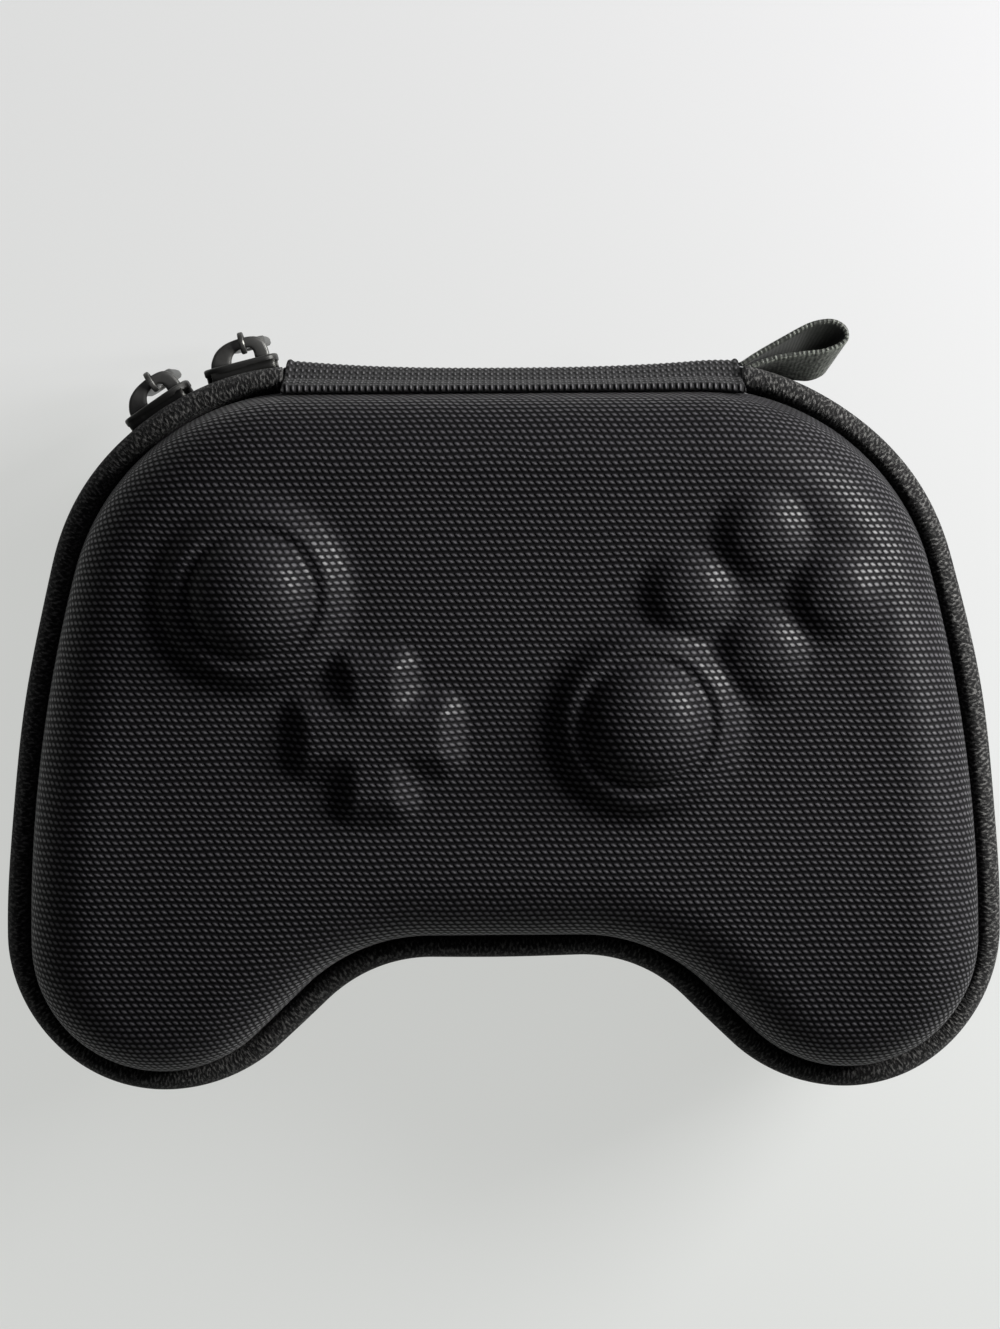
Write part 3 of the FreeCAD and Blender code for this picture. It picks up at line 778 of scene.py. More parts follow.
def shell(name, side, across, down, top, crowned, materials):
    """A whole shell as one closed sheet: patch, rings, rim, inner rings and ceiling."""
    few_across, few_down = across // 3, down // 3
    fine = np.concatenate([stops[:-1] for stops in patch_stops(across, down)])
    coarse = np.concatenate([stops[:-1] for stops in patch_stops(few_across, few_down)])
    inside = shell_inset + shell_wall
    crown = patch(across, down, shell_inset, top, outer_shoulder, crowned, side)
    outer = wall_rings(fine, shell_inset, top, outer_shoulder, crowned, side, (14, 8))
    lip = ring_points(fine, shell_inset + lip_step, rim_gap, side)
    inner = wall_rings(coarse, inside, top - shell_wall, inner_shoulder, crowned, side, (6, 5))
    ceiling = patch(few_across, few_down, inside, top - shell_wall, inner_shoulder, crowned, side)
    edge = patch_edge(across, down)
    wall_cloth = drawn_cloth(fine, crown.reshape(-1, 3)[edge], outer)
    cloth = [lay_cloth(crown[..., :2]) if crowned else crown[..., :2], wall_cloth]
    cloth += [wall_cloth[-1:], inner[::-1, :, :2], ceiling[..., :2]]
    if crowned:
        crown = press_reliefs(crown)
        outer = press_reliefs(outer)
        ceiling = press_ceiling(ceiling)
    blocks = [crown, outer, lip, inner[::-1], ceiling]
    points = np.concatenate([block.reshape(-1, 3) for block in blocks])
    cloth = np.concatenate([block.reshape(-1, 2) for block in cloth])
    starts = np.cumsum([0] + [block.size // 3 for block in blocks])
    outer_rings = np.arange(starts[1], starts[3]).reshape(-1, len(fine))
    outer_rings = np.vstack([edge, outer_rings])
    inner_rings = np.arange(starts[3], starts[4]).reshape(-1, len(coarse))
    inner_rings = np.vstack([inner_rings, patch_edge(few_across, few_down) + starts[4]])
    crown_faces = grid_faces(across + 1, down + 1)[0]
    ceiling_faces = grid_faces(few_across + 1, few_down + 1)[0][:, ::-1] + starts[4]
    lip_faces = stitch_rings(outer_rings[-1], inner_rings[0])
    walls = [strip_faces(outer_rings), lip_faces, strip_faces(inner_rings)]
    if side > 0:
        crown_faces = crown_faces[:, ::-1]
        ceiling_faces = ceiling_faces[:, ::-1]
    else:
        walls = [faces[:, ::-1] for faces in walls]
    kinds = [(crown_faces, 0), (walls[0], 0), (walls[1], 1), (walls[2], 1), (ceiling_faces, 1)]
    patches = [(faces, cloth[faces], slot) for faces, slot in kinds]
    return mesh_object(name, points, patches, materials)


# %% [markdown]
# The cloth is a heavy woven nylon. Seen close, short floats of the shinier yarn stand in
# staggered rows over a nearly black ground, each a little slanted. A wave across the rows
# makes the rows, and a wave along them, turned over in every second row, makes the floats.
# Only the floats shine, which is a thin coat that follows the same height as the relief.

# %% Woven cloth and lining
float_pitch = 1.19
float_row = 1.06
float_slant = 0.11


def woven(blank):
    """Height is how far into a row times how near a float of that row, both from 0 to 1."""
    place, across, along = cloth_place(blank)
    drift = place.noise(0.12, 2.0) - 0.5
    row = along / float_row + drift * 0.6
    turned = (row * 0.5).wave().math("SIGN")
    beside = across / float_pitch + drift * 0.5 + row.swing() * float_slant
    near = (beside.wave() * turned * 0.5 + 0.5).math("POWER", 0.65)
    height = near * (row.wave() * 0.5 + 0.5)
    uneven = place.noise(0.9, 3.0) * 0.9 + 0.5
    peak = height.step(0.12, 1.0) * uneven
    return {
        "Base Color": peak.mix(rgb(0.0038, 0.0037, 0.0042), rgb(0.056, 0.054, 0.060)),
        "Roughness": 0.62 - 0.14 * peak,
        "Coat Weight": peak * 0.6,
        "Relief": (height, 0.24),
    }


def knitted(blank):
    place, across, along = cloth_place(blank)
    u = across / 0.9
    v = along / 0.7
    height = u.wave() * 0.5 + v.wave() * 0.3
    tone = place.noise(0.6, 2.0).mix(rgb(0.010, 0.010, 0.011), rgb(0.022, 0.022, 0.023))
    return {"Base Color": tone, "Roughness": 0.85, "Relief": (height, 0.10)}


sheen = {"Sheen_Weight": 0.07, "Sheen_Roughness": 0.22}
woven_nylon = finish("woven_nylon", woven, Specular_IOR_Level=0.06, Coat_Roughness=0.42, **sheen)
inner_knit = finish("inner_knit", knitted, Sheen_Weight=0.15, Sheen_Roughness=0.5)

# %% The two shells
lid_shell = shell("lid_shell", 1, 288, 192, lid_height, True, [woven_nylon, inner_knit])
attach(lid_shell, "lid")
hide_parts("upper_shell")
tray_shell = shell("tray_shell", -1, 144, 96, tray_height, False, [woven_nylon, inner_knit])
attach(tray_shell, "base")
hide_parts("lower_shell")

# %% [markdown]
# Everything round the rim is a closed profile carried along the outline: the zip tapes and
# the binding inside. The tape leaves the coil almost upright, leans in and rolls over into
# the groove where it is sewn to the shell. The webbing covers it behind, so it stops there.

# %% A profile carried along the rim
webbing_left = -hinge_flat / 2 - 3.5
webbing_right = hinge_flat / 2 + 7.7
zip_gap = 0.3
halves = (("lid", 1, "lid", "upper"), ("tray", -1, "base", "lower"))


def rim_distance(x):
    """Distance along the rim of a point of the rear right corner, from its x."""
    return hinge_flat / 2 + corner_radius * math.asin((x - hinge_flat / 2) / corner_radius)


zip_start = rim_distance(webbing_right + zip_gap)
zip_end = 2 * half_rim - rim_distance(-webbing_left + zip_gap)


def closed_profile(keys, count, softness):
    """A closed smooth outline through key points, without repeating its first point."""
    keys = np.asarray(keys, float)
    doubled = soft_curve(np.vstack([keys, keys, keys[:1]]), 2 * count + 1, softness)
    return np.roll(doubled[count // 2: count // 2 + count], count // 2, axis=0)


def carried(profile, distance, side):
    """A grid of points: a profile of (inset, height) points at each distance round the rim."""
    return np.stack([ring_points(distance, inset, height, side) for inset, height in profile])


def walked_round(profile):
    """The distance walked round a closed profile to each point, and back to its first."""
    return walked_along(np.vstack([profile, profile[:1]]))


# %% [markdown]
# Zip tape is a close knit: short upright stitches in staggered columns, dulled by a fuzz of
# fine fibres. The stitches are a faint lattice of waves. Over it lie upright flecks, which
# are noise squeezed along the tape, and a finer noise on the same height is the fuzz.

# %% Zip tape
stitch_pitch = 0.98
stitch_rows = 2.1
tape_profile = closed_profile(
    [
        (0.95, 3.0), (0.74, 4.3), (0.36, 5.4), (0.20, 6.2), (0.34, 7.2), (0.95, 8.4), (1.85, 9.25),
        (2.75, 9.6), (3.55, 9.2), (4.0, 8.2), (4.3, 7.2), (4.38, 6.6), (4.36, 5.7), (3.2, 5.2),
        (2.1, 4.6), (1.95, 3.0), (1.4, 2.85),
    ],
    44,
    0.25,
)


def tape_knit(blank):
    place, across, along = cloth_place(blank)
    drift = place.noise(0.8, 3.0) - 0.5
    u = across / stitch_pitch + drift * 1.1
    v = along / stitch_rows + drift * 0.9
    stitch = u.wave() * v.wave() * 0.5 + 0.5
    squeezed = blank.make("CombineXYZ", {}, {0: across * 2.3, 1: along * 0.95})
    fleck = squeezed.noise(1.0, 2.0).step(0.36, 0.72)
    fuzz = place.noise(5.0, 3.0)
    height = stitch * 0.28 + fleck * 0.5 + fuzz * 0.4
    tone = height.step(0.40, 1.05)
    return {
        "Base Color": tone.mix(rgb(0.0042, 0.0042, 0.0042), rgb(0.105, 0.104, 0.100)),
        "Roughness": 0.88,
        "Relief": (height, 0.26),
    }


sheen = {"Sheen_Weight": 0.05, "Sheen_Roughness": 0.5}
zip_tape = finish("zip_tape", tape_knit, Specular_IOR_Level=0.15, **sheen)
zip_places = even_stops(zip_start, zip_end, 620, 2.0)


def slack_tape(points, distance):
    """Lets the tape wander in and out by a few tenths of a millimetre, as sewn tape does."""
    normal = rim(distance)[1]
    wander = 0.16 * np.sin(distance / 13.7) + 0.10 * np.sin(distance / 5.9 + 1.0)
    points = points.copy()
    points[..., :2] += (wander[:, None] * normal)[None]
    return points


for half, side, body, level in halves:
    points = slack_tape(carried(tape_profile, zip_places, side), zip_places)
    around = walked_round(tape_profile)
    tape = tube_object("zip_tape_" + half, points, zip_places, around, zip_tape)
    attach(tape, body)
    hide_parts(level + "_zip_tape")

# %% Binding sewn over the inner edge of each rim
binding_profile = closed_profile(
    [
        (5.2, 3.85), (7.0, 3.8), (9.0, 3.85), (9.55, 4.3), (9.6, 6.0), (9.6, 9.0), (9.55, 11.6),
        (9.2, 11.9), (8.85, 11.4), (8.82, 8.0), (8.8, 5.0), (8.3, 4.58), (6.8, 4.58), (5.2, 4.55),
        (4.85, 4.2),
    ],
    40,
    0.2,
)[::-1]


def binding_weave(blank):
    place, across, along = cloth_place(blank)
    height = (across / 0.55).wave() * (along / 1.1).wave() * 0.5 + 0.5
    tone = height.mix(rgb(0.008, 0.008, 0.009), rgb(0.030, 0.030, 0.032))
    return {"Base Color": tone, "Roughness": 0.7, "Relief": (height, 0.12)}


binding_tape = finish("binding_tape", binding_weave, Sheen_Weight=0.1, Sheen_Roughness=0.4)
whole_rim = even_stops(0.0, 2 * half_rim, 420, 5.0)
for half, side, body, level in halves:
    points = carried(binding_profile, whole_rim[:-1], side)
    around = walked_round(binding_profile)
    name = "rim_binding_" + half
    binding = tube_object(name, points, whole_rim, around, binding_tape, looped=True)
    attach(binding, body)
    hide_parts(level + "_rim_binding")

# %% [markdown]
# Each half of the zip is one nylon thread wound into a flat coil, whose turns lock between
# the other half's. It is a helix whose axis runs along the rim: an ellipse in the profile
# plane, turned once for each pitch walked. The halves are half a turn apart.

# %% Zip coils
coil_pitch = 1.5
coil_wire = 0.31
coil_depth = 2.4
coil_inset = 0.25
coil_middle = 1.2
coil_rise = 1.24
coil_steps = 13
coil_sides = 6


def wound_coil(name, side, material):
    """One half of the coil, as a tube along the helix, with closed ends.

    At each angle of a turn the wire's middle lies on the ellipse. Round the middle, the
    tube's points lie a wire's radius away, along the rim or in the ellipse's own plane.
    """
    length = zip_end - zip_start
    turns = int(length / coil_pitch)
    share = np.linspace(0, 1, turns * coil_steps)
    distance = zip_start + length * share
    angle = 2 * math.pi * turns * share + (0 if side > 0 else math.pi)
    half_depth = (coil_depth - coil_inset) / 2 - coil_wire
    inset = (coil_depth + coil_inset) / 2 + half_depth * np.cos(angle)
    line = ring_points(distance, inset, coil_middle + coil_rise * np.sin(angle), side)
    normal = rim(distance)[1]
    flat = np.zeros(len(distance))
    along = np.stack([-normal[:, 1], normal[:, 0], flat], axis=1)
    away = np.stack([normal[:, 0], normal[:, 1], flat], axis=1)
    radial = -np.cos(angle)[:, None] * away + np.sin(angle)[:, None] * side * up
    corner = np.linspace(0, 2 * math.pi, coil_sides, endpoint=False)[:, None, None]
    points = line + coil_wire * (np.cos(corner) * radial + np.sin(corner) * along)
    return tube_object(name, points, distance, coil_wire * np.arange(coil_sides + 1), material)


def nylon(blank):
    place = blank.make("TexCoord", output="Object")
    tone = place.noise(900.0).mix(rgb(0.010, 0.010, 0.011), rgb(0.026, 0.026, 0.028))
    return {"Base Color": tone, "Roughness": 0.34}


coil_nylon = finish("coil_nylon", nylon)
for half, side, body, level in halves:
    coil = wound_coil("zip_coil_" + half, side, coil_nylon)
    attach(coil, body)
    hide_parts(level + "_zip_coil")

# %% [markdown]
# Behind, a strip of heavy webbing joins the halves. The real one bends as the lid opens; this
# one is fixed where it lies. It is a closed section carried along X. Between its ends it is
# drawn in, most at mid height and mid length, and its upright ribs are real ridges: a wave
# along X that dies out at the sewn edges.

# %% Hinge webbing
webbing_rib = 1.03
webbing_pull = 1.6
webbing_keys = [
    (0.75, 0.0), (0.35, 2.2), (-0.9, 5.0), (-2.35, 8.3), (-2.8, 11.0), (-3.15, 13.0), (-3.65, 14.9),
    (-4.4, 15.3), (-5.05, 14.8), (-4.7, 13.0), (-4.35, 11.0), (-4.0, 8.3), (-2.6, 5.0), (-1.3, 2.2),
    (-0.85, 0.0),
]
webbing_heights = [0, 5, 11, 15]
webbing_face = [62.0, 60.4, 58.6, 57.8]
webbing_middle = [62.05, 60.35, 58.5, 57.7]
rib_height = 0.14
rib_sink = 0.04
fold_height = 0.35


def webbing_section(count):
    """The closed section: the keys above, and the same below the parting plane, backwards."""
    upper = np.array(webbing_keys) + [rear_edge, 0]
    lower = upper[-2:0:-1] * [1, -1]
    return closed_profile(np.vstack([upper, lower]), count, 0.25)


def make_webbing():
    """The section carried along X, in rows round it and columns along X.

    It is drawn in by a share that grows from the sewn edges to the parting plane. Beside the
    hinge it recedes as the corner's arc does: the radius less the root of the radius squared
    less the distance squared. Only its outer face has the ribs, and a fold near each end,
    where the section closes on its middle line like a quarter of an ellipse.
    """
    section = webbing_section(150)
    x = np.linspace(webbing_left, webbing_right, 601)
    reach = np.abs(2 * x - webbing_left - webbing_right) / (webbing_right - webbing_left)
    y, z = [column[:, None] for column in section.T]
    sewn = webbing_middle[-1]
    share = np.clip((y - sewn) / (rear_edge + 0.75 - sewn), 0, 1)
    pull = webbing_pull * (1 - reach**2.6) * share
    beyond = np.clip(np.abs(x) - hinge_flat / 2, 0, None)
    recede = corner_radius - np.sqrt(corner_radius**2 - beyond**2)
    outer = np.clip((y - np.interp(np.abs(z), webbing_heights, webbing_face)) / 0.5, 0, 1)
    rib = 0.5 + 0.5 * np.cos(2 * math.pi * (x - webbing_left) / webbing_rib)
    fold = fold_height * ease(0.965, 0.985, reach) * (1 - ease(0.992, 1.0, reach))
    ribs = (rib_height * rib - rib_sink + fold) * outer
    end = np.sqrt(np.clip(1 - (np.clip(reach - 0.982, 0, 1) / 0.0181) ** 2, 0.02, 1))
    middle = np.interp(np.abs(z), webbing_heights, webbing_middle)
    depth = middle + (y - middle + ribs) * end - pull - recede
    points = np.stack(np.broadcast_arrays(x, depth, parting + z), axis=-1)
    return tube_object("rear_webbing", points, x, walked_round(section), webbing_weave)


def webbing_yarn(blank):
    place, across, along = cloth_place(blank)
    drift = place.noise(0.7, 2.0) - 0.5
    u = (across - webbing_left) / webbing_rib
    v = along / 2.7 + drift * 0.3
    row = u.wave() * v.wave() * 0.5 + 0.5
    rib = u.wave() * 0.5 + 0.5
    height = row * 0.8 + rib * 0.2
    tone = (height.step(0.58, 0.98)) * (place.noise(1.4, 3.0) * 0.9 + 0.5)
    return {
        "Base Color": tone.mix(rgb(0.0030, 0.0029, 0.0034), rgb(0.098, 0.096, 0.100)),
        "Roughness": 0.66,
        "Relief": (height, 0.34),
    }


webbing_weave = finish("webbing_weave", webbing_yarn, Specular_IOR_Level=0.15, Sheen_Weight=0.03)
webbing = make_webbing()
bend_reach = 9
bend_low = (0, rear_edge * MM, (parting - bend_reach) * MM)
bend_high = (0, rear_edge * MM, (parting + bend_reach) * MM)
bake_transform(webbing)
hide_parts("hinge_webbing")

# %% [markdown]
# Inside, a flat lining strip hides the seam behind the hinge. It is a thin closed section
# like the webbing's, drawn in a little between its ends, and like it, fixed where it lies.

# %% Hinge lining
lining_half = 31.0
lining_middle = (webbing_left + webbing_right) / 2
lining_face = rear_edge - shell_inset - shell_wall - 0.4 - 0.8
lining_thickness = 0.7
lining_reach = 15.0
lining_bow = 0.9
lining_slack = 0.14


def make_lining():
    """A thin flat strip: the rows of its front, then of its back the other way round.

    Both its bow and its slack fade to nothing at the sewn edges as a cosine does.
    """
    x = np.linspace(lining_middle - lining_half, lining_middle + lining_half, 90)
    height = np.linspace(0.1 - lining_reach, lining_reach - 0.1, 60)[:, None]
    reach = np.abs(x - lining_middle) / lining_half
    fade = np.cos(height / lining_reach * math.pi / 2)
    bow = lining_bow * (1 - reach**2) * fade**2
    slack = lining_slack * np.sin(x / 6.0) * fade
    front = lining_face - lining_thickness - bow + slack
    y = np.vstack([front, front[::-1] + lining_thickness])
    z = np.vstack([height, height[::-1]])
    points = np.stack(np.broadcast_arrays(x, y, parting + z), axis=-1)
    return tube_object("hinge_lining_cloth", points, x, np.append(z, z[0]), inner_knit)


lining = make_lining()
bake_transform(lining)
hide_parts("hinge_lining")

# %% [markdown]
# The ribbon loop is one short ribbon folded in two and caught in the seam beside the webbing.
# Its upper edge follows a slim drop seen from above. Further out the ribbon leans, so its
# lower edge comes back toward the case and its face can be seen from above.

# %% Ribbon loop
ribbon_width = 7.4
ribbon_thickness = 0.9
ribbon_lean = 5.3
ribbon_upper_edge = soft_curve(
    [
        (40.8, 61.4), (43.9, 63.5), (48.4, 66.1), (52.2, 68.1), (54.6, 68.75), (56.6, 68.7),
        (58.3, 67.7), (58.8, 66.2), (57.7, 64.9), (54.9, 63.8), (51.3, 63.4), (47.8, 62.9),
        (45.1, 62.2), (41.7, 60.9),
    ],
    150,
    0.5,
)


def ribbon_grain(blank):
    place, across, along = cloth_place(blank)
    drift = place.noise(1.3, 2.0) - 0.5
    rib = (across / 0.8 + drift * 0.5).wave() * 0.5 + 0.5
    inside = along.step(2.0 * ribbon_width, 2.5 * ribbon_width)
    edge = ((along - inside * (3 * ribbon_width)) / ribbon_width * 2 - 1).math("ABSOLUTE")
    picot = edge.step(0.88, 0.97) * rib.step(0.3, 0.9) * place.noise(1.1, 3.0).step(0.30, 0.62)
    plain = rib * 0.08 + place.noise(1.6, 4.0) * 0.9
    # The inner face keeps a tenth of the light tone: painted shade inside the folded loop.
    face = plain.step(0.2, 0.9) * (1 - inside * 0.9)
    tone = face.mix(rgb(0.012, 0.013, 0.011), rgb(0.205, 0.218, 0.192))
    height = rib * 0.15 + picot * 0.8
    tone = picot.mix(tone, rgb(0.13, 0.14, 0.12))
    return {"Base Color": tone, "Roughness": 0.5, "Relief": (height, 0.08)}


def make_ribbon():
    """The ribbon: along its upper edge, and round a thin closed section as wide as the ribbon.

    The inner face's cloth is counted from three widths on, so the shader can tell it apart
    and darken it as painted shade inside the loop.
    Its lower edge leans by a length that grows with the distance from the root and levels
    off. Where it would pass into the zip it rests against it: its distance from the corner's
    centre is kept above the corner's radius.
    """
    path = ribbon_upper_edge
    ahead = np.gradient(path, axis=0)
    ahead /= np.linalg.norm(ahead, axis=1)[:, None]
    aside = np.stack([-ahead[:, 1], ahead[:, 0]], axis=1)
    out = np.linalg.norm(path - path[0], axis=1)
    lean = ribbon_lean * (1 - np.exp(-((out / 7.0) ** 1.3)))
    heel = 0.6 * (out / 18.0) ** 1.5
    rows = 22
    half = np.linspace(0, 1, rows)
    down = np.concatenate([half, half[::-1]])
    offset = np.repeat([0.5, -0.5], rows) * ribbon_thickness
    offset[[0, rows - 1, rows, -1]] *= 0.55
    sag = lean[None] * down[:, None]
    plan = path[None] + offset[:, None, None] * aside[None]
    plan = plan - np.stack([sag * heel[None], sag], axis=-1)
    reach = plan - corner_centre
    distance = np.linalg.norm(reach, axis=-1, keepdims=True)
    plan = corner_centre + reach * np.maximum(1, (corner_radius - 0.1) / distance)
    drop = np.sqrt(ribbon_width**2 - lean**2)
    z = parting + ribbon_width / 2 - drop[None] * down[:, None]
    points = np.concatenate([plan, z[..., None]], axis=-1)
    across_width = np.concatenate([half, 3 + half[::-1], [3.0]]) * ribbon_width
    return tube_object("ribbon_pull_loop", points, walked_along(path), across_width, ribbon_cloth)


ribbon_cloth = finish("ribbon_cloth", ribbon_grain, Specular_IOR_Level=0.4, Sheen_Weight=0.05)
ribbon = make_ribbon()
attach(ribbon, "base")
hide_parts("ribbon_loop")

# %% [markdown]
# The sliders and pulls are die-cast, dark and slightly worn. They are worked out on a straight
# zip, with X along it, Y away from the case and Z up, then set on the rear left corner. A
# plate is an outline carried through a few levels with a rounded edge. The bridge is a bar
# between an outer and an inner curve, whose section is a rounded square.

# %% Shapes for the castings
slider_gap = 0.5
slider_plate = 1.4
slider_back = 1.0
slider_join = 0.5
bridge_axis = 4.9
bridge_width = 1.7
eye_place = 1.1


def pull_joint(side):
    """The joint of the pull on one side. Its axis runs along the zip at its slider."""
    return next(j for j in frame["joints"] if j["name"] == side + "_pull_swing")


def tube_form(points):
    """A closed form's points and faces, from a grid whose rows run round it."""
    rows, columns = points.shape[:2]
    sides = grid_faces(rows, columns, True)[0]
    fans = [cap for cap, uv, slot in end_caps(rows, columns, rows * columns)]
    return with_hubs(points), [sides] + fans


def levelled(outline_points, levels):
    """A closed solid: an (x, z) outline at levels of (y, inset), closed by flat fans."""
    beside = np.roll(outline_points, -1, axis=0) - np.roll(outline_points, 1, axis=0)
    normal = np.stack([beside[:, 1], -beside[:, 0]], axis=1)
    normal /= np.linalg.norm(normal, axis=1)[:, None]
    normal *= np.sign(np.cross(outline_points, np.roll(outline_points, -1, axis=0)).sum())
    rings = []
    for y, inset in levels:
        flat = outline_points - inset * normal
        rings.append(np.stack([flat[:, 0], np.full(len(flat), y), flat[:, 1]], axis=1))
    return tube_form(np.stack(rings, axis=1))


def rounded_levels(low, high, edge):
    """Levels of a plate from low to high with quarter-round edges."""
    steps = np.linspace(0, math.pi / 2, 4)
    start = [(low + edge * (1 - math.sin(a)), edge * (1 - math.cos(a))) for a in steps[::-1]]
    end = [(high - edge * (1 - math.sin(a)), edge * (1 - math.cos(a))) for a in steps]
    return start + end


def squared(angle, power):
    """Cosine and sine, each raised to a power below 1: a square with rounded corners."""
    pair = (np.cos(angle), np.sin(angle))
    return [np.sign(value) * np.abs(value) ** power for value in pair]


def bar_between(outer, inner, width):
    """A bar whose section spans from an inner to an outer (x, y) curve, width across Z."""
    middle = (outer + inner) / 2
    reach = (outer - inner) / 2
    c, s = squared(np.linspace(0, 2 * math.pi, 14, endpoint=False)[:, None], 0.42)
    plan = middle + c[..., None] * reach
    z = np.broadcast_to(s * width / 2, plan.shape[:2])
    return tube_form(np.concatenate([plan, z[..., None]], axis=-1))


def gathered(parts):
    """Several closed forms as one list of points and of faces."""
    points = []
    faces = []
    total = 0
    for form_points, form_faces in parts:
        points.append(form_points)
        faces += [group + total for group in form_faces]
        total += len(form_points)
    return np.concatenate(points), faces


def set_on_corner(points, side):
    """Moves a form from the straight zip onto the rear left corner of the rim.

    The pull's joint stands where the middle of the bridge's bar is, and its axis is the
    direction of the zip there.
    """
    joint = pull_joint(side)
    along = np.array(joint["axis"])
    away = np.array([-along[1], along[0], 0.0])
    pivot = np.array(joint["pos_m"]) / MM
    x = (points[:, :1] - eye_place) * along
    y = (points[:, 1:2] - bridge_axis) * away
    return pivot + x + y + points[:, 2:] * up


def casting_object(name, points, faces, material):
    """A casting as one object, with flat cloth coordinates."""
    patches = [(group, points[group][..., [0, 2]], 0) for group in faces]
    return closed_object(name, points, patches, [material])


# %% Slider castings
shield = closed_profile(
    [
        (-6.4, 0.0), (-6.3, 2.0), (-5.5, 3.4), (-3.0, 3.9), (0.5, 4.25), (3.2, 4.4), (5.0, 3.9),
        (6.2, 2.6), (6.4, 0.0), (6.2, -2.6), (5.0, -3.9), (3.2, -4.4), (0.5, -4.25), (-3.0, -3.9),
        (-5.5, -3.4), (-6.3, -2.0),
    ],
    64,
    0.2,
)
bridge_outer = soft_curve(
    [
        (-5.15, 1.1), (-5.15, 1.9), (-4.75, 3.1), (-3.6, 4.55), (-1.8, 5.45), (0.55, 5.8),
        (2.4, 5.75), (3.85, 5.35), (4.75, 4.4), (5.12, 3.1), (5.15, 1.1),
    ],
    60,
    0.2,
)
bridge_inner = soft_curve(
    [
        (-1.6, 1.1), (-1.55, 1.9), (-1.3, 2.7), (-0.7, 3.45), (0.3, 3.9), (1.0, 4.0),
        (1.7, 3.98), (2.25, 3.75), (2.58, 3.2), (2.62, 2.2), (2.62, 1.1),
    ],
    60,
    0.2,
)
flange_keys = [(-5.4, 3.55), (4.6, 3.75), (5.0, 4.0), (4.4, 4.3), (-4.9, 3.9)]
post_keys = [
    (6.1, 0.0), (6.1, 1.15), (4.4, 0.95), (3.2, 0.5), (3.0, 0.0), (3.2, -0.5), (4.4, -0.95),
    (6.1, -1.15),
]


def slider_casting(name, side, front_wide):
    """Two plates joined by a wedge at the nose, with flanges over the coil and the bridge."""
    back = -coil_depth - 0.7 - slider_back
    flip = np.array([1.0, 1.0]) if front_wide else np.array([-1.0, 1.0])
    front_levels = rounded_levels(slider_gap, slider_gap + slider_plate, 0.38)
    back_levels = rounded_levels(back, back + slider_back, 0.3)
    parts = [levelled(shield * flip, front_levels), levelled(shield * flip * 0.96, back_levels)]
    flange = slider_gap - 1.1
    in_front = slider_gap + slider_join
    behind = back + slider_join
    for sign in (1, -1):
        strip = closed_profile(flange_keys, 36, 0.1) * flip * np.array([1.0, sign])
        parts.append(levelled(strip, [(flange, 0.1), (flange + 0.1, 0.0), (in_front, 0.0)]))
        parts.append(levelled(strip, [(behind, 0.0), (back + 1.5, 0.0), (back + 1.6, 0.1)]))
    post = closed_profile(post_keys, 36, 0.1) * flip
    parts.append(levelled(post, [(behind, 0.0), (in_front, 0.0)]))
    parts.append(bar_between(bridge_outer, bridge_inner, bridge_width))
    points, faces = gathered(parts)
    return casting_object(name, set_on_corner(points, side), faces, cast_metal)


def metal(blank):
    place = blank.make("TexCoord", output="Object")
    edges = blank.make("NewGeometry", output=7)
    worn = (edges + (place.noise(700.0, 4.0) - 0.5) * 0.12).step(0.56, 0.66)
    grime = place.noise(260.0, 4.0)
    # Near the zip the colour falls to near black and the worn edges dim: painted shade over the low
    # plates, flanges and bridge feet beside the coil.
    centre = (-corner_centre[0] * MM, corner_centre[1] * MM, parting * MM)
    out = blank.make("VectorMath", {"operation": "DISTANCE"}, {0: place, 1: centre}, output=1)
    beyond_painted_shade = out.step((corner_radius + 1.5) * MM, (corner_radius + 2.6) * MM)
    dark = (grime * beyond_painted_shade).mix(rgb(0.016, 0.016, 0.015), rgb(0.150, 0.150, 0.143))
    return {
        "Base Color": (worn * (beyond_painted_shade * 0.7 + 0.3)).mix(dark, rgb(0.26, 0.26, 0.24)),
        "Roughness": 0.36 + grime * 0.2,
        "Metallic": 0.7,
        "Relief": (grime, 0.03),
    }


cast_metal = finish("cast_metal", metal)
for side, front_wide in (("right", False), ("left", True)):
    casting = slider_casting("slider_casting_" + side, side, front_wide)
    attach(casting, side + "_slider")
    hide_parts("slider_" + side)

# %% Pulls that hang from the bridges
pull_length = 24.0
pull_width = 6.8
pull_thickness = 1.4
eye_hole = 1.25
eye_rim = 1.9
eye_width = 0.95
tab_top = 5.5
grip_hole_top = 12.4
grip_hole_foot = 21.4


def pull_outline():
    """The tab seen flat: a neck under the eye that widens to the tab's round-ended sides."""
    half = pull_width / 2
    right = [
        (0.95, -eye_hole - 0.5), (1.1, -2.6), (2.6, -4.4), (half, -tab_top - 0.6), (half, -12.0),
        (half, -20.0), (half - 0.3, -22.4), (half - 1.4, -23.6), (half - 2.6, -pull_length),
    ]
    left = [(-x, z) for x, z in reversed(right)]
    return closed_profile(right + left, 96, 0.25)


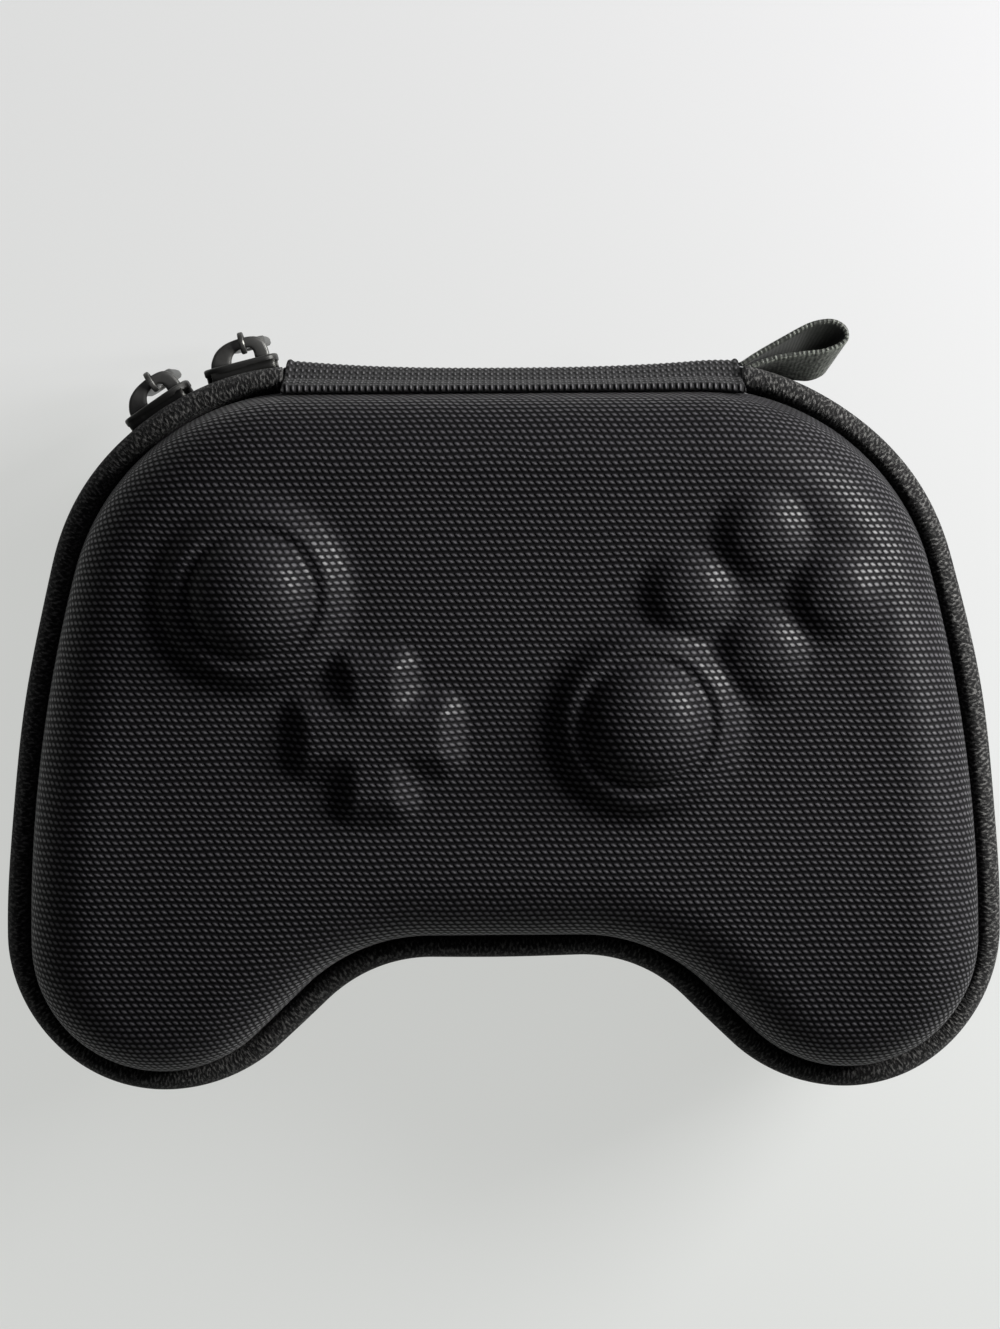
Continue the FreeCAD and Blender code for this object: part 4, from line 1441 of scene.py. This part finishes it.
def grip_outline():
    """The slot in the tab, with round ends."""
    right = [
        (0.9, -grip_hole_top - 0.15), (1.5, -grip_hole_top - 1.2), (1.5, -17.0),
        (1.5, -grip_hole_foot + 1.2), (0.9, -grip_hole_foot + 0.15),
    ]
    left = [(-x, z) for x, z in reversed(right)]
    return closed_profile(right + left, 96, 0.15)


def pull_tab():
    """The tab as rings of its outline and its slot, front and back, joined into one skin."""
    loops = {"outline": pull_outline(), "slot": grip_outline()}
    middles = {}
    for name, loop in loops.items():
        middles[name] = (loop.min(axis=0) + loop.max(axis=0)) / 2
        angle = np.arctan2(loop[:, 0], loop[:, 1] - middles[name][1])
        loops[name] = np.roll(loop, -np.argmin(angle), axis=0)
    face = pull_thickness / 2
    levels = [("outline", face - 0.35, 1.0), ("outline", face, 0.93)]
    levels += [("slot", face, 1.25), ("slot", face - 0.3, 1.0)]
    levels += [(name, -depth, scale) for name, depth, scale in reversed(levels)]
    rings = []
    for name, depth, scale in levels:
        flat = middles[name] + (loops[name] - middles[name]) * scale
        rings.append(np.stack([flat[:, 0], np.full(len(flat), depth), flat[:, 1]], axis=1))
    points = np.concatenate(rings)
    numbers = np.arange(len(points)).reshape(len(levels), -1)
    return points, [strip_faces(np.vstack([numbers, numbers[:1]]))]


def pull_eye():
    """The eye: a ring round the bar, its section a square with rounded corners."""
    angle = np.linspace(0, 2 * math.pi, 48, endpoint=False)[:, None]
    out, aside = squared(np.linspace(0, 2 * math.pi, 16, endpoint=False)[None], 0.6)
    radius = (eye_hole + eye_rim) / 2 + (eye_rim - eye_hole) / 2 * out
    x = eye_width / 2 * aside + 0 * angle
    points = np.stack([x, radius * np.cos(angle), radius * np.sin(angle)], axis=-1)
    return points.reshape(-1, 3), [grid_faces(48, 16, True, True)[0]]


for side in ("right", "left"):
    points, faces = gathered([pull_tab(), pull_eye()])
    points = points + np.array([eye_place, bridge_axis, 0])
    pull = casting_object("pull_casting_" + side, set_on_corner(points, side), faces, cast_metal)
    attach(pull, side + "_pull")
    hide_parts("pull_" + side)
